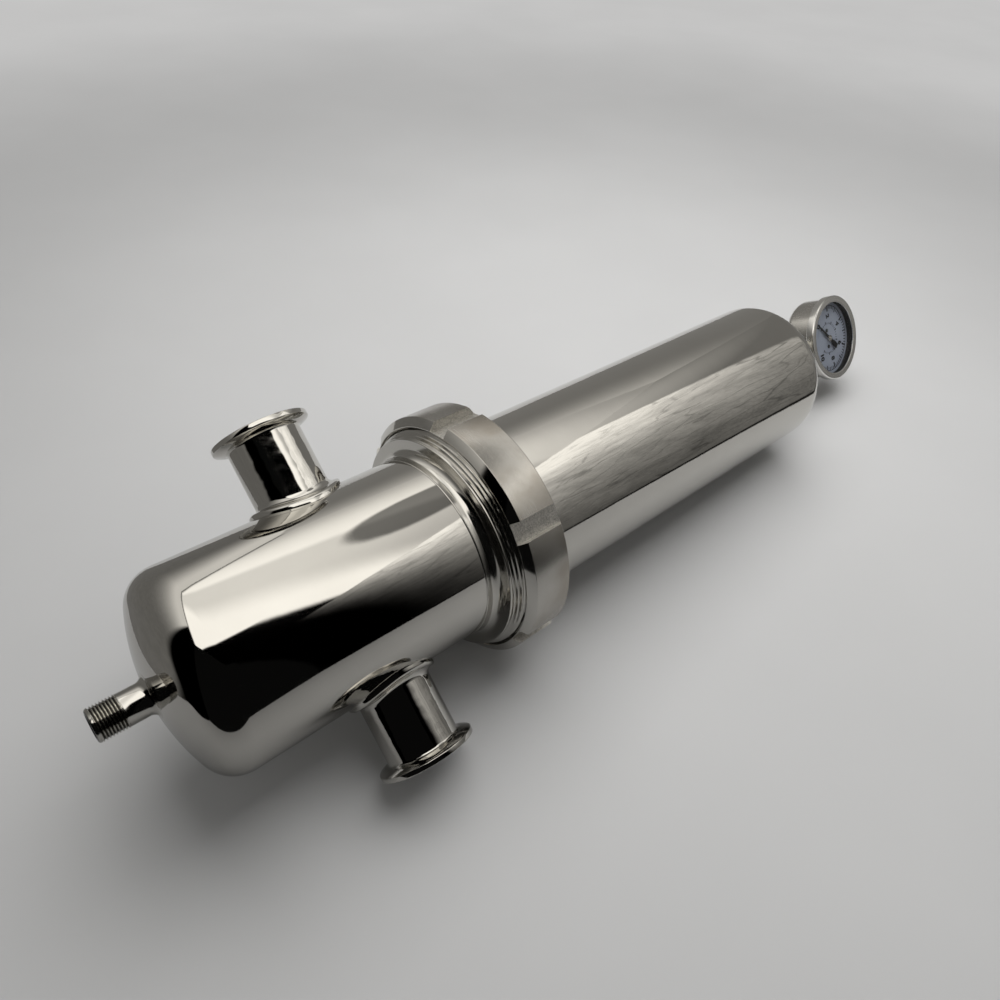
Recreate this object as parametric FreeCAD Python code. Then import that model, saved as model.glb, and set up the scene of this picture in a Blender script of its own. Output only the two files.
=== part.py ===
import FreeCAD, Part
import math
import os

# Sanitary steam filter: a polished stainless base with two clamp ferrules and a drain,
# a slotted union nut, and a tall bowl that covers the cartridge and carries a pressure gauge.
# Millimetres. +Z runs up the filter's axis, and the origin is the drain's lower end.
# The inlet ferrule points to -X and the outlet ferrule to +X. The front is -Y.

os.makedirs("parts", exist_ok=True)

# Shells: 4 inch tube with dished heads
shell_od = 101.6
shell_wall = 2.0
head_crown_radius = 110.0
head_knuckle_radius = 17.0
base_length = 148.8
bowl_length = 284.4

# Drain nipple on the lower head: 3/8 inch pipe thread
drain_reach = 24.1
drain_thread_od = 16.2
drain_thread_length = 12.8
drain_neck_od = 15.6
drain_bore = 11.0
drain_weld = 3.4

# Clamp ferrules: 1.5 inch tube, 50.5 mm flange
nozzle_height = 122.4
nozzle_reach = 90.6
nozzle_od = 38.1
nozzle_wall = 1.5
pad_radius = 24.0
pad_thickness = 2.6
pad_fillet = 2.6
pad_round = 1.3
flange_od = 50.5
flange_rim = 2.85
flange_taper_deg = 20.0
flange_fillet = 1.5
flange_edge_round = 0.5
seal_groove_diameter = 43.5
seal_groove_radius = 1.6

# Union joint: thread of 125 mm across the crests, with two turns in sight on its lead
thread_od = 125.0
thread_lead_length = 5.0
thread_pitch = 1.9
lead_ring_count = 2
lead_ring_depth = 0.55
lead_ring_half = 0.45
collar_weld_groove = 1.0
collar_hub_length = 3.1
collar_fillet = 4.4
collar_shoulder_od = 120.0
collar_shoulder_edge = 0.9
collar_shoulder_chamfer = 0.5
thread_chamfer = 1.0
collar_length = 30.1
gasket_width = 5.9
gasket_height = 5.0
gasket_recess = 4.0
gasket_side_gap = 0.3
seal_face_gap = 0.1
liner_flange_od = 117.0
liner_flange_length = 4.4
liner_cone_length = 4.4
liner_neck_length = 6.1
liner_step = 1.0
liner_edge = 0.6

# Slotted union nut
nut_od = 138.0
nut_drop = 14.1
nut_band_length = 23.1
nut_rim_od = 129.2
nut_face_rise = 3.2
nut_top_rim_od = 128.0
nut_top_rise = 3.1
nut_edge_chamfer = 0.8
nut_running_gap = 0.35
nut_neck_spare = 0.2
nut_relief = 1.4
nut_lead = 1.4
nut_slot_count = 6
nut_slot_width = 11.0
nut_slot_depth = 4.8
nut_slot_start_deg = 41.7

# Inside of the base: elbow from the outlet to the cartridge seat
elbow_bend_radius = 38.1
elbow_top_above_bend = 8.5
seat_cup_depth = 23.0
seat_wall = 3.0
seat_lip_height = 4.4
seat_groove_height = 4.7
seat_entry = 3.0
seat_floor = 5.0
seat_rim_wall = 3.0
seat_chamfer = 1.0
seat_flare = 3.0
seat_shoulder = 1.0

# Cartridge: double O-ring adaptor with bayonet lugs, 10 inch element
adaptor_od = 56.1
adaptor_gap = 0.35
adaptor_bore = 44.0
adaptor_bottom_gap = 2.5
adaptor_lead_width = 1.5
adaptor_lead_length = 2.0
o_ring_section = 3.4
o_ring_bore_gap = 0.08
o_ring_groove_slack = 0.4
o_ring_pitch = 7.2
o_ring_first = 7.7
lug_count = 3
lug_width = 12.0
lug_reach = 3.8
lug_gap = 0.4
lug_slot_gap = 1.0
bayonet_turn_deg = 40.0
cap_od = 70.0
cap_height = 7.0
cap_gap = 0.5
cap_chamfer = 1.5
cap_dish_radius = 21.0
cap_dish_depth = 2.5
cap_dish_edge = 1.0
element_length = 230.0
cage_rim = 0.4
cage_wall = 1.0
cage_columns = 12
cage_rows = 9
core_od = 47.0
core_wall = 2.0
core_columns = 6
core_rows = 6
window_share = 0.62
pleat_count = 54
pleat_gap = 0.5
pleat_thickness = 0.9

# Gauge boss on the upper head
boss_od = 22.0
boss_height = 29.6
boss_weld = 3.0
boss_bore = 8.0
boss_thread_depth = 15.0
boss_chamfer = 0.8

# Pressure gauge: 63 mm dial, bottom entry, stem on the filter's axis
gauge_turn_deg = 21.0
gauge_stem_length = 49.4
gauge_case_od = 62.0
gauge_case_wall = 0.9
gauge_case_back_radius = 6.0
gauge_case_front = 8.0
gauge_case_back = 16.0
gauge_lip_reach = 1.2
gauge_lip = 1.0
bezel_wall = 1.0
bezel_face_width = 5.2
bezel_bevel = 0.7
bezel_edge = 0.5
bezel_gap = 0.1
window_thickness = 2.0
dial_depth = 2.2
dial_thickness = 0.6
dial_rim_gap = 0.05
dial_hole_gap = 0.7
dial_screw_od = 1.2
dial_screw_head_od = 2.6
dial_screw_head = 0.6
dial_screw_inset = 2.0
gasket_skirt = 0.7
gasket_lip = 1.0
gasket_edge_gap = 0.2
washer_thickness = 2.0
washer_bore_gap = 0.2
stem_thread_od = 13.0
stem_thread_gap = 0.05
stem_thread_length = 13.0
stem_collar_od = 17.5
stem_collar_height = 2.0
stem_square = 14.0
stem_square_corners = 17.9
stem_square_height = 11.5
stem_neck_od = 10.0
stem_bore = 4.0
socket_block_width = 12.0
socket_block_top = 17.5
socket_step = 24.0
socket_dial_gap = 0.6
socket_tube_step = 0.6
gallery_bore = 1.6
gallery_below_step = 2.5
stem_bore_end = 1.5
movement_front = 2.6
movement_gap = 3.4
plate_thickness = 0.8
plate_width = 17.0
plate_arch_drop = 1.5
plate_waist_drop = 6.0
plate_shoulder = 2.5
plate_foot_below_pivot = 5.5
stud_radius = 0.35
pillar_radius = 1.0
pillar_left = (-6.6, -0.6)
pillar_right = (5.6, 1.6)
pillar_foot = (-4.4, -4.2)
tooth_module = 0.35
tooth_addendum = 0.8
tooth_dedendum = 1.2
pressure_angle_deg = 20.0
pinion_teeth = 10
sector_teeth = 80
sector_travel_deg = 33.75
sector_spare_deg = 5.0
tooth_backlash = 0.09
arbor_radius = 0.8
arbor_end_gap = 0.1
arbor_past_dial = 2.6
pivot_radius = 0.5
pivot_gap = 0.06
link_thickness = 0.6
link_half_width = 0.9
link_eye_radius = 1.5
link_gear_gap = 0.35
link_eye_gap = 0.3
tip_cap_length = 3.2
tip_cap_wall = 0.4
tip_cap_front = 0.2
tip_pin_past_link = 0.3
tail_radius = 5.0
tail_half_width = 1.1
tail_pin_reach = 1.2
sector_hub_radius = 2.2
gear_thickness = 1.2
gear_plate_gap = 0.5
bourdon_radius = 19.0
bourdon_depth = 7.0
bourdon_thickness = 2.2
bourdon_wall = 0.4
bourdon_gap = 0.4
bourdon_start_deg = -100.0
bourdon_sweep_deg = 290.0
hairspring_turns = 3.5
hairspring_pitch = 0.6
hairspring_width = 0.5
hairspring_thickness = 0.2
hairspring_gap = 0.35
pointer_tip = 24.0
pointer_tail = 13.0
pointer_tail_start = 6.0
pointer_neck = 5.0
pointer_root_half = 1.1
pointer_neck_half = 0.9
pointer_tail_half = 1.9
pointer_height = 1.4
pointer_thickness = 0.4
pointer_hub_radius = 2.4
pointer_hub_front = 0.5
pointer_hub_back = 1.0
pointer_rest_deg = 225.0
vent_plug_od = 9.0
vent_plug_rim = 1.0
vent_plug_head = 1.0
vent_plug_bulb = 0.8
vent_plug_bulb_reach = 0.6

# Sizes that follow from the ones above
shell_r = shell_od / 2
shell_ir = shell_r - shell_wall
nozzle_r = nozzle_od / 2
nozzle_ir = nozzle_r - nozzle_wall
base_top = drain_reach + base_length
collar_top = base_top + collar_length
shoulder_z = base_top + collar_hub_length + collar_fillet
thread_r = thread_od / 2
gasket_base = collar_top - gasket_recess
liner_face = gasket_base + gasket_height + seal_face_gap
liner_cone_base = liner_face + liner_flange_length
liner_cone_top = liner_cone_base + liner_cone_length
bowl_base = liner_cone_top + liner_neck_length
bowl_top = bowl_base + bowl_length
boss_top = bowl_top + boss_height
gauge_z = boss_top + gauge_stem_length
cage_r = cap_od / 2 - cage_rim
gauge_case_r = gauge_case_od / 2
gauge_lip_r = gauge_case_r + gauge_lip_reach
bezel_r = gauge_lip_r + bezel_gap + bezel_wall

ORIGIN = FreeCAD.Vector(0, 0, 0)
X_AXIS = FreeCAD.Vector(1, 0, 0)
Y_AXIS = FreeCAD.Vector(0, 1, 0)
Z_AXIS = FreeCAD.Vector(0, 0, 1)


class Outline:
    """A closed outline in a half plane: first value across, second along the axis."""

    def __init__(self, across, along):
        self.points = [(across, along)]
        self.edges = []

    def place(self, point):
        return FreeCAD.Vector(point[0], 0, point[1])

    def line(self, across, along):
        start = self.points[-1]
        if math.dist(start, (across, along)) > 1e-6:
            self.edges.append(Part.LineSegment(self.place(start), self.place((across, along))).toShape())
            self.points.append((across, along))
        return self

    def arc(self, middle, end):
        start = self.points[-1]
        self.edges.append(Part.Arc(self.place(start), self.place(middle), self.place(end)).toShape())
        self.points.append(end)
        return self

    def face(self):
        self.line(*self.points[0])
        return Part.Face(Part.Wire(self.edges))

    def spin(self):
        """The solid of revolution about Z."""
        return solid(self.face().revolve(ORIGIN, Z_AXIS, 360))


def solid(shape):
    """A shape's one solid, with its faces pointing outwards."""
    found = shape if shape.ShapeType == "Solid" else Part.Solid(shape.Shells[0])
    if found.Volume < 0:
        found.reverse()
    return found


def profile(*points):
    outline = Outline(*points[0])
    for point in points[1:]:
        outline.line(*point)
    return outline


def cylinder(radius, low, high, x=0.0, y=0.0):
    return Part.makeCylinder(radius, high - low, FreeCAD.Vector(x, y, low), Z_AXIS)


def ring(inner, outer, low, high):
    return cylinder(outer, low, high).cut(cylinder(inner, low - 1, high + 1))


def block(x_low, x_high, y_low, y_high, z_low, z_high):
    corner = FreeCAD.Vector(x_low, y_low, z_low)
    return Part.makeBox(x_high - x_low, y_high - y_low, z_high - z_low, corner)


def turned(shape, degrees, centre=ORIGIN, axis=Z_AXIS):
    copy = shape.copy()
    copy.rotate(centre, axis, degrees)
    return copy


def moved(shape, x=0.0, y=0.0, z=0.0):
    copy = shape.copy()
    copy.translate(FreeCAD.Vector(x, y, z))
    return copy


def save(name, shape):
    clean = shape.removeSplitter() if shape.ShapeType == "Compound" and len(shape.Solids) == 1 else shape
    if not clean.isValid():
        raise ValueError(f"{name} is not a valid shape")
    clean.exportStep(f"parts/{name}.step")
    print(f"{name}: {len(clean.Solids)} solid, {clean.Volume / 1000:.2f} cm3")


def head_geometry():
    """A dished head's depth to its knuckle centre, and the angle where crown and knuckle join."""
    reach = head_crown_radius - head_knuckle_radius
    offset = shell_r - head_knuckle_radius
    knuckle_depth = head_crown_radius - math.sqrt(reach ** 2 - offset ** 2)
    joining = math.degrees(math.asin(offset / reach))
    return knuckle_depth, joining


def head_surface_depth(across):
    """How far the head's outer crown falls back from its tip at a radius."""
    return head_crown_radius - math.sqrt(head_crown_radius ** 2 - across ** 2)


def vessel(tip, rim, upward):
    """A tube closed by a dished head at its tip, open at its rim."""
    knuckle_depth, joining = head_geometry()
    side = 1 if upward else -1
    crown = (0.0, tip + side * head_crown_radius)
    knuckle = (shell_r - head_knuckle_radius, tip + side * knuckle_depth)
    outline = Outline(0.0, tip)
    down = -90 * side
    turn = joining * side
    outer = head_crown_radius
    inner = head_crown_radius - shell_wall
    outline.arc(on_circle(crown, outer, down + turn / 2), on_circle(crown, outer, down + turn))
    rise = (down + turn) / 2
    outline.arc(on_circle(knuckle, head_knuckle_radius, rise), (shell_r, knuckle[1]))
    outline.line(shell_r, rim).line(shell_ir, rim).line(shell_ir, knuckle[1])
    inner_knuckle = head_knuckle_radius - shell_wall
    outline.arc(on_circle(knuckle, inner_knuckle, rise), on_circle(knuckle, inner_knuckle, down + turn))
    outline.arc(on_circle(crown, inner, down + turn / 2), (0.0, tip + side * shell_wall))
    return outline.spin()


def on_circle(centre, radius, degrees):
    angle = math.radians(degrees)
    return (centre[0] + radius * math.cos(angle), centre[1] + radius * math.sin(angle))


# Base


def make_base_shell():
    shell = vessel(drain_reach, base_top, True)
    reach = shell_r + 5
    cross = Part.makeCylinder(nozzle_r, 2 * reach, FreeCAD.Vector(-reach, 0, nozzle_height), X_AXIS)
    drain_hole = cylinder(drain_neck_od / 2, 0, drain_reach + 10)
    return shell.cut(cross).cut(drain_hole)


def make_outlet_ferrule():
    """Clamp ferrule and its tube along +X, cut off flush with the shell's inside."""
    back = nozzle_reach - flange_rim
    slope = math.tan(math.radians(flange_taper_deg))
    flange_r = flange_od / 2
    root = back - (flange_r - nozzle_r - flange_fillet) * slope - flange_fillet
    groove_r = seal_groove_diameter / 2
    start = shell_r - 12
    outline = Outline(nozzle_ir, start)
    outline.line(nozzle_r, start).line(nozzle_r, root)
    taper_foot = (nozzle_r + flange_fillet, root + flange_fillet)
    outline.arc(on_circle((taper_foot[0], root), flange_fillet, 135), taper_foot)
    outline.line(flange_r - flange_edge_round, back - flange_edge_round * slope)
    outline.line(flange_r, back + flange_edge_round)
    outline.line(flange_r, nozzle_reach - flange_edge_round)
    outline.line(flange_r - flange_edge_round, nozzle_reach)
    outline.line(groove_r + seal_groove_radius, nozzle_reach)
    groove_end = (groove_r - seal_groove_radius, nozzle_reach)
    outline.arc((groove_r, nozzle_reach - seal_groove_radius), groove_end)
    outline.line(nozzle_ir, nozzle_reach)
    tube = turned(outline.spin(), 90, ORIGIN, Y_AXIS)
    tube = moved(tube, z=nozzle_height)
    inside = cylinder(shell_ir, 0, nozzle_height * 2)
    return tube.cut(inside)


def make_outlet_collar():
    """Saddle collar round the nozzle's root: it hugs the shell and blends up to the tube."""
    axis_point = FreeCAD.Vector(0, 0, nozzle_height)
    shell = cylinder(shell_r, nozzle_height - pad_radius * 2, nozzle_height + pad_radius * 2)
    skin = cylinder(shell_r + pad_thickness, nozzle_height - pad_radius * 2, nozzle_height + pad_radius * 2)
    pad = skin.common(Part.makeCylinder(pad_radius, shell_r * 2, axis_point, X_AXIS))
    stub = Part.makeCylinder(nozzle_r, shell_r + pad_thickness + pad_fillet * 2, axis_point, X_AXIS)
    joined = pad.fuse(stub).removeSplitter()
    joined = joined.makeFillet(pad_fillet, saddle_edges(joined, nozzle_r))
    joined = joined.makeFillet(pad_round, saddle_edges(joined, pad_radius))
    return joined.cut(shell).cut(stub)


def saddle_edges(shape, radius):
    """The curved edges that run round the nozzle's axis on the pad's face, at a radius."""
    found = []
    for edge in shape.Edges:
        box = edge.BoundBox
        middle = edge.valueAt((edge.FirstParameter + edge.LastParameter) / 2)
        across = math.hypot(middle.y, middle.z - nozzle_height)
        crosses = box.XLength > 0.5 and box.ZLength > 1 and box.XMax < shell_r + pad_thickness + 1
        if crosses and box.XMin > shell_r / 2 and abs(across - radius) < 0.05:
            found.append(edge)
    return found


def make_drain_nipple():
    thread_r_drain = drain_thread_od / 2
    neck_r = drain_neck_od / 2
    bore_r = drain_bore / 2
    chamfer = 1.0
    run_out = 0.4
    weld_r = neck_r + drain_weld
    weld_low = drain_reach - drain_weld
    outer_at = drain_reach + head_surface_depth(neck_r)
    inner_crown = head_crown_radius - shell_wall

    def inner_at(across):
        return drain_reach + head_crown_radius - math.sqrt(inner_crown ** 2 - across ** 2)

    outline = Outline(bore_r, 0)
    outline.line(thread_r_drain - chamfer, 0).line(thread_r_drain, chamfer)
    outline.line(thread_r_drain, drain_thread_length).line(neck_r, drain_thread_length + run_out)
    outline.line(neck_r, weld_low)
    weld_toe = (weld_r, drain_reach + head_surface_depth(weld_r))
    outline.arc(on_circle((weld_r, weld_low), drain_weld, 135), weld_toe)
    middle = (weld_r + neck_r) / 2
    outline.arc((middle, drain_reach + head_surface_depth(middle)), (neck_r, outer_at))
    outline.line(neck_r, inner_at(neck_r))
    middle = (bore_r + neck_r) / 2
    outline.arc((middle, inner_at(middle)), (bore_r, inner_at(bore_r)))
    return outline.spin()


def make_threaded_collar():
    hub_base = base_top + collar_weld_groove
    shoulder_r = collar_shoulder_od / 2
    fillet_centre = (shell_r + collar_fillet, shoulder_z - collar_fillet)
    lead_base = shoulder_z + collar_shoulder_edge
    recess_r = shell_ir + gasket_width + gasket_side_gap * 2
    outline = Outline(shell_ir, base_top)
    outline.line(shell_r - collar_weld_groove, base_top).line(shell_r - collar_weld_groove, hub_base)
    outline.line(shell_r, hub_base).line(shell_r, shoulder_z - collar_fillet)
    outline.arc(on_circle(fillet_centre, collar_fillet, 135), (shell_r + collar_fillet, shoulder_z))
    outline.line(shoulder_r - collar_shoulder_chamfer, shoulder_z)
    outline.line(shoulder_r, shoulder_z + collar_shoulder_chamfer)
    outline.line(shoulder_r, lead_base)
    slope = (thread_r - shoulder_r) / thread_lead_length
    for index in range(lead_ring_count):
        rise = thread_pitch * (index + 1)
        for step, depth in ((-lead_ring_half, 0), (0, lead_ring_depth), (lead_ring_half, 0)):
            outline.line(shoulder_r + (rise + step) * slope - depth, lead_base + rise + step)
    outline.line(thread_r, lead_base + thread_lead_length)
    outline.line(thread_r, collar_top - thread_chamfer).line(thread_r - thread_chamfer, collar_top)
    outline.line(recess_r, collar_top).line(recess_r, gasket_base).line(shell_ir, gasket_base)
    return outline.spin()


def make_body_gasket():
    inner = shell_ir + gasket_side_gap
    return ring(inner, inner + gasket_width, gasket_base, gasket_base + gasket_height)


def elbow_solid(radius, extend):
    """A round bar along the elbow's centre line, trimmed to end on the bend's two legs."""
    bend_z = nozzle_height + elbow_bend_radius
    centre = FreeCAD.Vector(elbow_bend_radius, 0, bend_z)
    disc = Part.Face(Part.Wire(Part.makeCircle(radius, FreeCAD.Vector(0, 0, bend_z), Z_AXIS)))
    bend = solid(disc.revolve(centre, Y_AXIS, -90))
    riser = cylinder(radius, bend_z, bend_z + elbow_top_above_bend + extend)
    leg_start = FreeCAD.Vector(elbow_bend_radius, 0, nozzle_height)
    leg = Part.makeCylinder(radius, shell_r - elbow_bend_radius + extend + 5, leg_start, X_AXIS)
    return bend.fuse(riser).fuse(leg)


def make_outlet_elbow():
    tube = elbow_solid(nozzle_r, 0).cut(elbow_solid(nozzle_ir, 2))
    return tube.common(cylinder(shell_ir, 0, base_top * 2)).removeSplitter()


def seat_levels():
    """Heights of the seat: underside, cup floor, groove, lip and top."""
    elbow_top = nozzle_height + elbow_bend_radius + elbow_top_above_bend
    underside = elbow_top - seat_entry
    floor = elbow_top + seat_floor
    groove = floor + seat_cup_depth
    lip = groove + seat_groove_height
    return underside, elbow_top, floor, groove, lip, lip + seat_lip_height


def make_cartridge_seat():
    underside, elbow_top, floor, groove, lip, top = seat_levels()
    cup_r = adaptor_od / 2 + adaptor_gap
    groove_r = adaptor_od / 2 + lug_reach + lug_gap
    wall_r = cup_r + seat_wall
    rim_r = groove_r + seat_rim_wall
    outline = profile((nozzle_r, underside), (nozzle_r + seat_wall, underside),
                      (nozzle_r + seat_wall, elbow_top), (wall_r, floor + seat_shoulder),
                      (wall_r, groove - seat_flare), (rim_r, groove), (rim_r, top - seat_chamfer),
                      (rim_r - seat_chamfer, top), (cup_r, top), (cup_r, lip),
                      (groove_r, lip), (groove_r, groove), (cup_r, groove), (cup_r, floor),
                      (nozzle_ir, floor), (nozzle_ir, elbow_top), (nozzle_r, elbow_top))
    seat = outline.spin()
    half = lug_width / 2 + lug_slot_gap
    for index in range(lug_count):
        slot = block(0, groove_r, -half, half, lip - 0.5, top + 1)
        slot = slot.common(cylinder(groove_r, lip - 1, top + 2))
        seat = seat.cut(turned(slot, bayonet_turn_deg + index * 360 / lug_count))
    return seat


# Cartridge


def o_ring_heights():
    floor = seat_levels()[2]
    first = floor + adaptor_bottom_gap + o_ring_first
    return [first, first + o_ring_pitch]


def o_ring_centre_radius():
    cup_r = adaptor_od / 2 + adaptor_gap
    return cup_r - o_ring_bore_gap - o_ring_section / 2


def make_o_ring(height):
    return Part.makeTorus(o_ring_centre_radius(), o_ring_section / 2, FreeCAD.Vector(0, 0, height), Z_AXIS)


def cartridge_levels():
    """Heights of the lower cap, the element and the upper cap."""
    top = seat_levels()[5]
    cap_base = top + cap_gap
    element_base = cap_base + cap_height
    element_top = element_base + element_length
    return cap_base, element_base, element_top, element_top + cap_height


def make_cartridge_adaptor():
    floor, groove = seat_levels()[2:4]
    lip = seat_levels()[4]
    bottom = floor + adaptor_bottom_gap
    cap_base = cartridge_levels()[0]
    adaptor_r = adaptor_od / 2
    ring_depth = o_ring_centre_radius() - o_ring_section / 2
    half = o_ring_section / 2 + o_ring_groove_slack
    outline = Outline(adaptor_bore / 2, bottom)
    outline.line(adaptor_r - adaptor_lead_width, bottom)
    outline.line(adaptor_r, bottom + adaptor_lead_length)
    for height in o_ring_heights():
        outline.line(adaptor_r, height - half).line(ring_depth, height - half)
        outline.line(ring_depth, height + half).line(adaptor_r, height + half)
    outline.line(adaptor_r, cap_base).line(adaptor_bore / 2, cap_base)
    adaptor = outline.spin()
    lug_r = adaptor_r + lug_reach
    for index in range(lug_count):
        lug = block(adaptor_r - 2, lug_r, -lug_width / 2, lug_width / 2, groove + lug_gap, lip - lug_gap)
        lug = lug.common(cylinder(lug_r, groove, lip))
        adaptor = adaptor.fuse(turned(lug, index * 360 / lug_count))
    return adaptor.removeSplitter()


def make_lower_end_cap():
    cap_base, element_base = cartridge_levels()[:2]
    cap_r = cap_od / 2
    return profile((adaptor_bore / 2, cap_base), (cap_r - cap_chamfer, cap_base),
                   (cap_r, cap_base + cap_chamfer), (cap_r, element_base),
                   (adaptor_bore / 2, element_base)).spin()


def make_upper_end_cap():
    element_top, top = cartridge_levels()[2:]
    cap_r = cap_od / 2
    floor = top - cap_dish_depth
    return profile((0, element_top), (cap_r, element_top), (cap_r, top - cap_chamfer),
                   (cap_r - cap_chamfer, top), (cap_dish_radius + cap_dish_edge, top),
                   (cap_dish_radius, floor), (0, floor)).spin()


def windowed_tube(outer, wall, low, high, columns, rows):
    """A tube with rows of tall windows through its wall."""
    tube = ring(outer - wall, outer, low, high)
    pitch = (high - low) / rows
    height = pitch * window_share
    width = 2 * math.pi * outer / columns * window_share
    cutters = []
    for row in range(rows):
        centre = low + (row + 0.5) * pitch
        for column in range(columns):
            low_edge = centre - height / 2
            cutter = block(outer - wall - 1, outer + 1, -width / 2, width / 2, low_edge, low_edge + height)
            cutters.append(turned(cutter, (column + 0.5) * 360 / columns))
    return tube.cut(cutters)


def make_cartridge_cage():
    low, high = cartridge_levels()[1:3]
    return windowed_tube(cage_r, cage_wall, low, high, cage_columns, cage_rows)


def make_cartridge_core():
    low, high = cartridge_levels()[1:3]
    return windowed_tube(core_od / 2, core_wall, low, high, core_columns, core_rows)


def make_filter_media():
    """Pleated sheet between the core and the cage, folded back on itself."""
    low, high = cartridge_levels()[1:3]
    outer = cage_r - cage_wall - pleat_gap
    inner = core_od / 2 + pleat_gap
    step = 2 * math.pi / pleat_count

    def fold(radius, angle):
        return FreeCAD.Vector(radius * math.cos(angle), radius * math.sin(angle), low)

    outside = []
    inside = []
    for index in range(pleat_count):
        angle = index * step
        outside += [fold(outer, angle), fold(inner + pleat_thickness, angle + step / 2)]
        inside += [fold(outer - pleat_thickness * 2, angle), fold(inner, angle + step / 2)]
    outer_wire = Part.makePolygon(outside + outside[:1])
    inner_wire = Part.makePolygon(inside + inside[:1])
    sheet = Part.Face(outer_wire).cut(Part.Face(inner_wire))
    return sheet.extrude(FreeCAD.Vector(0, 0, high - low)).Solids[0]


# Bowl


def make_bowl_liner():
    """Ring on the bowl's lower end: it lands on the gasket and the nut pulls on its cone."""
    flange_r = liner_flange_od / 2
    return profile((shell_ir, liner_face), (flange_r - liner_edge, liner_face),
                   (flange_r, liner_face + liner_edge),
                   (flange_r, liner_cone_base), (shell_r + liner_step, liner_cone_top),
                   (shell_r, liner_cone_top + liner_step / 2),
                   (shell_r, bowl_base), (shell_ir, bowl_base)).spin()


def make_bowl_shell():
    shell = vessel(bowl_top, bowl_base, False)
    return shell.cut(cylinder(boss_od / 2, bowl_top - 12, bowl_top + 5))


def make_gauge_boss():
    """Threaded boss set through the upper head, with a weld round its foot."""
    outer = boss_od / 2
    weld_r = outer + boss_weld
    foot = bowl_top - head_surface_depth(outer)
    weld_foot = bowl_top - head_surface_depth(weld_r)
    inner_crown = head_crown_radius - shell_wall

    def inner_at(across):
        return bowl_top - head_crown_radius + math.sqrt(inner_crown ** 2 - across ** 2)

    bore_r = boss_bore / 2
    thread_bore = stem_thread_od / 2 + stem_thread_gap
    thread_floor = boss_top - boss_thread_depth
    weld_top = foot + boss_weld
    outline = Outline(bore_r, inner_at(bore_r))
    middle = (bore_r + outer) / 2
    outline.arc((middle, inner_at(middle)), (outer, inner_at(outer)))
    outline.line(outer, foot)
    middle = (outer + weld_r) / 2
    outline.arc((middle, bowl_top - head_surface_depth(middle)), (weld_r, weld_foot))
    outline.arc(on_circle((weld_r, weld_top), boss_weld, 225), (outer, weld_top))
    outline.line(outer, boss_top - boss_chamfer).line(outer - boss_chamfer, boss_top)
    outline.line(thread_bore, boss_top).line(thread_bore, thread_floor).line(bore_r, thread_floor)
    return outline.spin()


# Union nut


def make_union_nut():
    band_base = liner_face - nut_drop
    rim_base = band_base - nut_face_rise
    band_top = band_base + nut_band_length
    top = band_top + nut_top_rise
    thread_bore = thread_r + nut_running_gap
    neck_bore = shell_r + nut_running_gap + nut_neck_spare
    flange_r = liner_flange_od / 2
    flange_bore = flange_r + nut_running_gap
    slope = liner_cone_length / (flange_r - shell_r - liner_step)
    cone_gap = nut_running_gap * math.hypot(1, slope)

    def cone_at(radius):
        return liner_cone_base + cone_gap + (flange_r - radius) * slope

    relief = cone_at(flange_bore) - nut_relief
    outer = nut_od / 2
    rim = nut_rim_od / 2
    top_rim = nut_top_rim_od / 2
    outline = profile((thread_bore + nut_lead, rim_base), (rim, rim_base), (outer, band_base),
                      (outer, band_top - nut_edge_chamfer), (outer - nut_edge_chamfer, band_top),
                      (top_rim, top), (neck_bore, top), (neck_bore, cone_at(neck_bore)),
                      (flange_bore, cone_at(flange_bore)), (flange_bore, relief),
                      (thread_bore, relief), (thread_bore, rim_base + nut_lead))
    nut = outline.spin()
    floor = outer - nut_slot_depth
    cutters = []
    half = nut_slot_width / 2
    for index in range(nut_slot_count):
        cutter = block(floor, outer + 5, -half, half, rim_base - 1, top + 1)
        cutters.append(turned(cutter, nut_slot_start_deg + index * 360 / nut_slot_count))
    return nut.cut(cutters)


# Gauge: built at the origin with its face to -Y and its stem down, then turned and lifted


def gauge_place(shape):
    return moved(turned(shape, gauge_turn_deg), z=gauge_z)


def spin_front(outline):
    """Revolves an outline of (radius, distance towards the back) about the gauge's axis."""
    return turned(outline.spin(), -90, ORIGIN, X_AXIS)


def front_cylinder(radius, front, back, across=0.0, up=0.0):
    """A cylinder along the gauge's axis, from a front depth to a back depth."""
    return Part.makeCylinder(radius, back - front, FreeCAD.Vector(across, front, up), Y_AXIS)


def window_front():
    return -gauge_case_front - gasket_lip - window_thickness


def dial_front():
    return -gauge_case_front + dial_depth


def make_gauge_case():
    outer = gauge_case_r
    inner = outer - gauge_case_wall
    front = -gauge_case_front
    back = gauge_case_back
    corner = gauge_case_back_radius
    outline = Outline(inner, front)
    outline.line(gauge_lip_r, front).line(gauge_lip_r, front + gauge_lip)
    outline.line(outer, front + gauge_lip).line(outer, back - corner)
    outline.arc(on_circle((outer - corner, back - corner), corner, 45), (outer - corner, back))
    outline.line(0, back).line(0, back - gauge_case_wall)
    outline.line(outer - corner, back - gauge_case_wall)
    bend_centre = (outer - corner, back - corner)
    outline.arc(on_circle(bend_centre, corner - gauge_case_wall, 45), (inner, back - corner))
    case = spin_front(outline)
    stem_hole = cylinder(stem_neck_od / 2, -outer - 3, -outer / 2)
    vent_hole = front_cylinder(vent_plug_od / 2 - vent_plug_rim, back - 3, back + 1, 0, outer / 2)
    return case.cut(stem_hole).cut(vent_hole)


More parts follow.
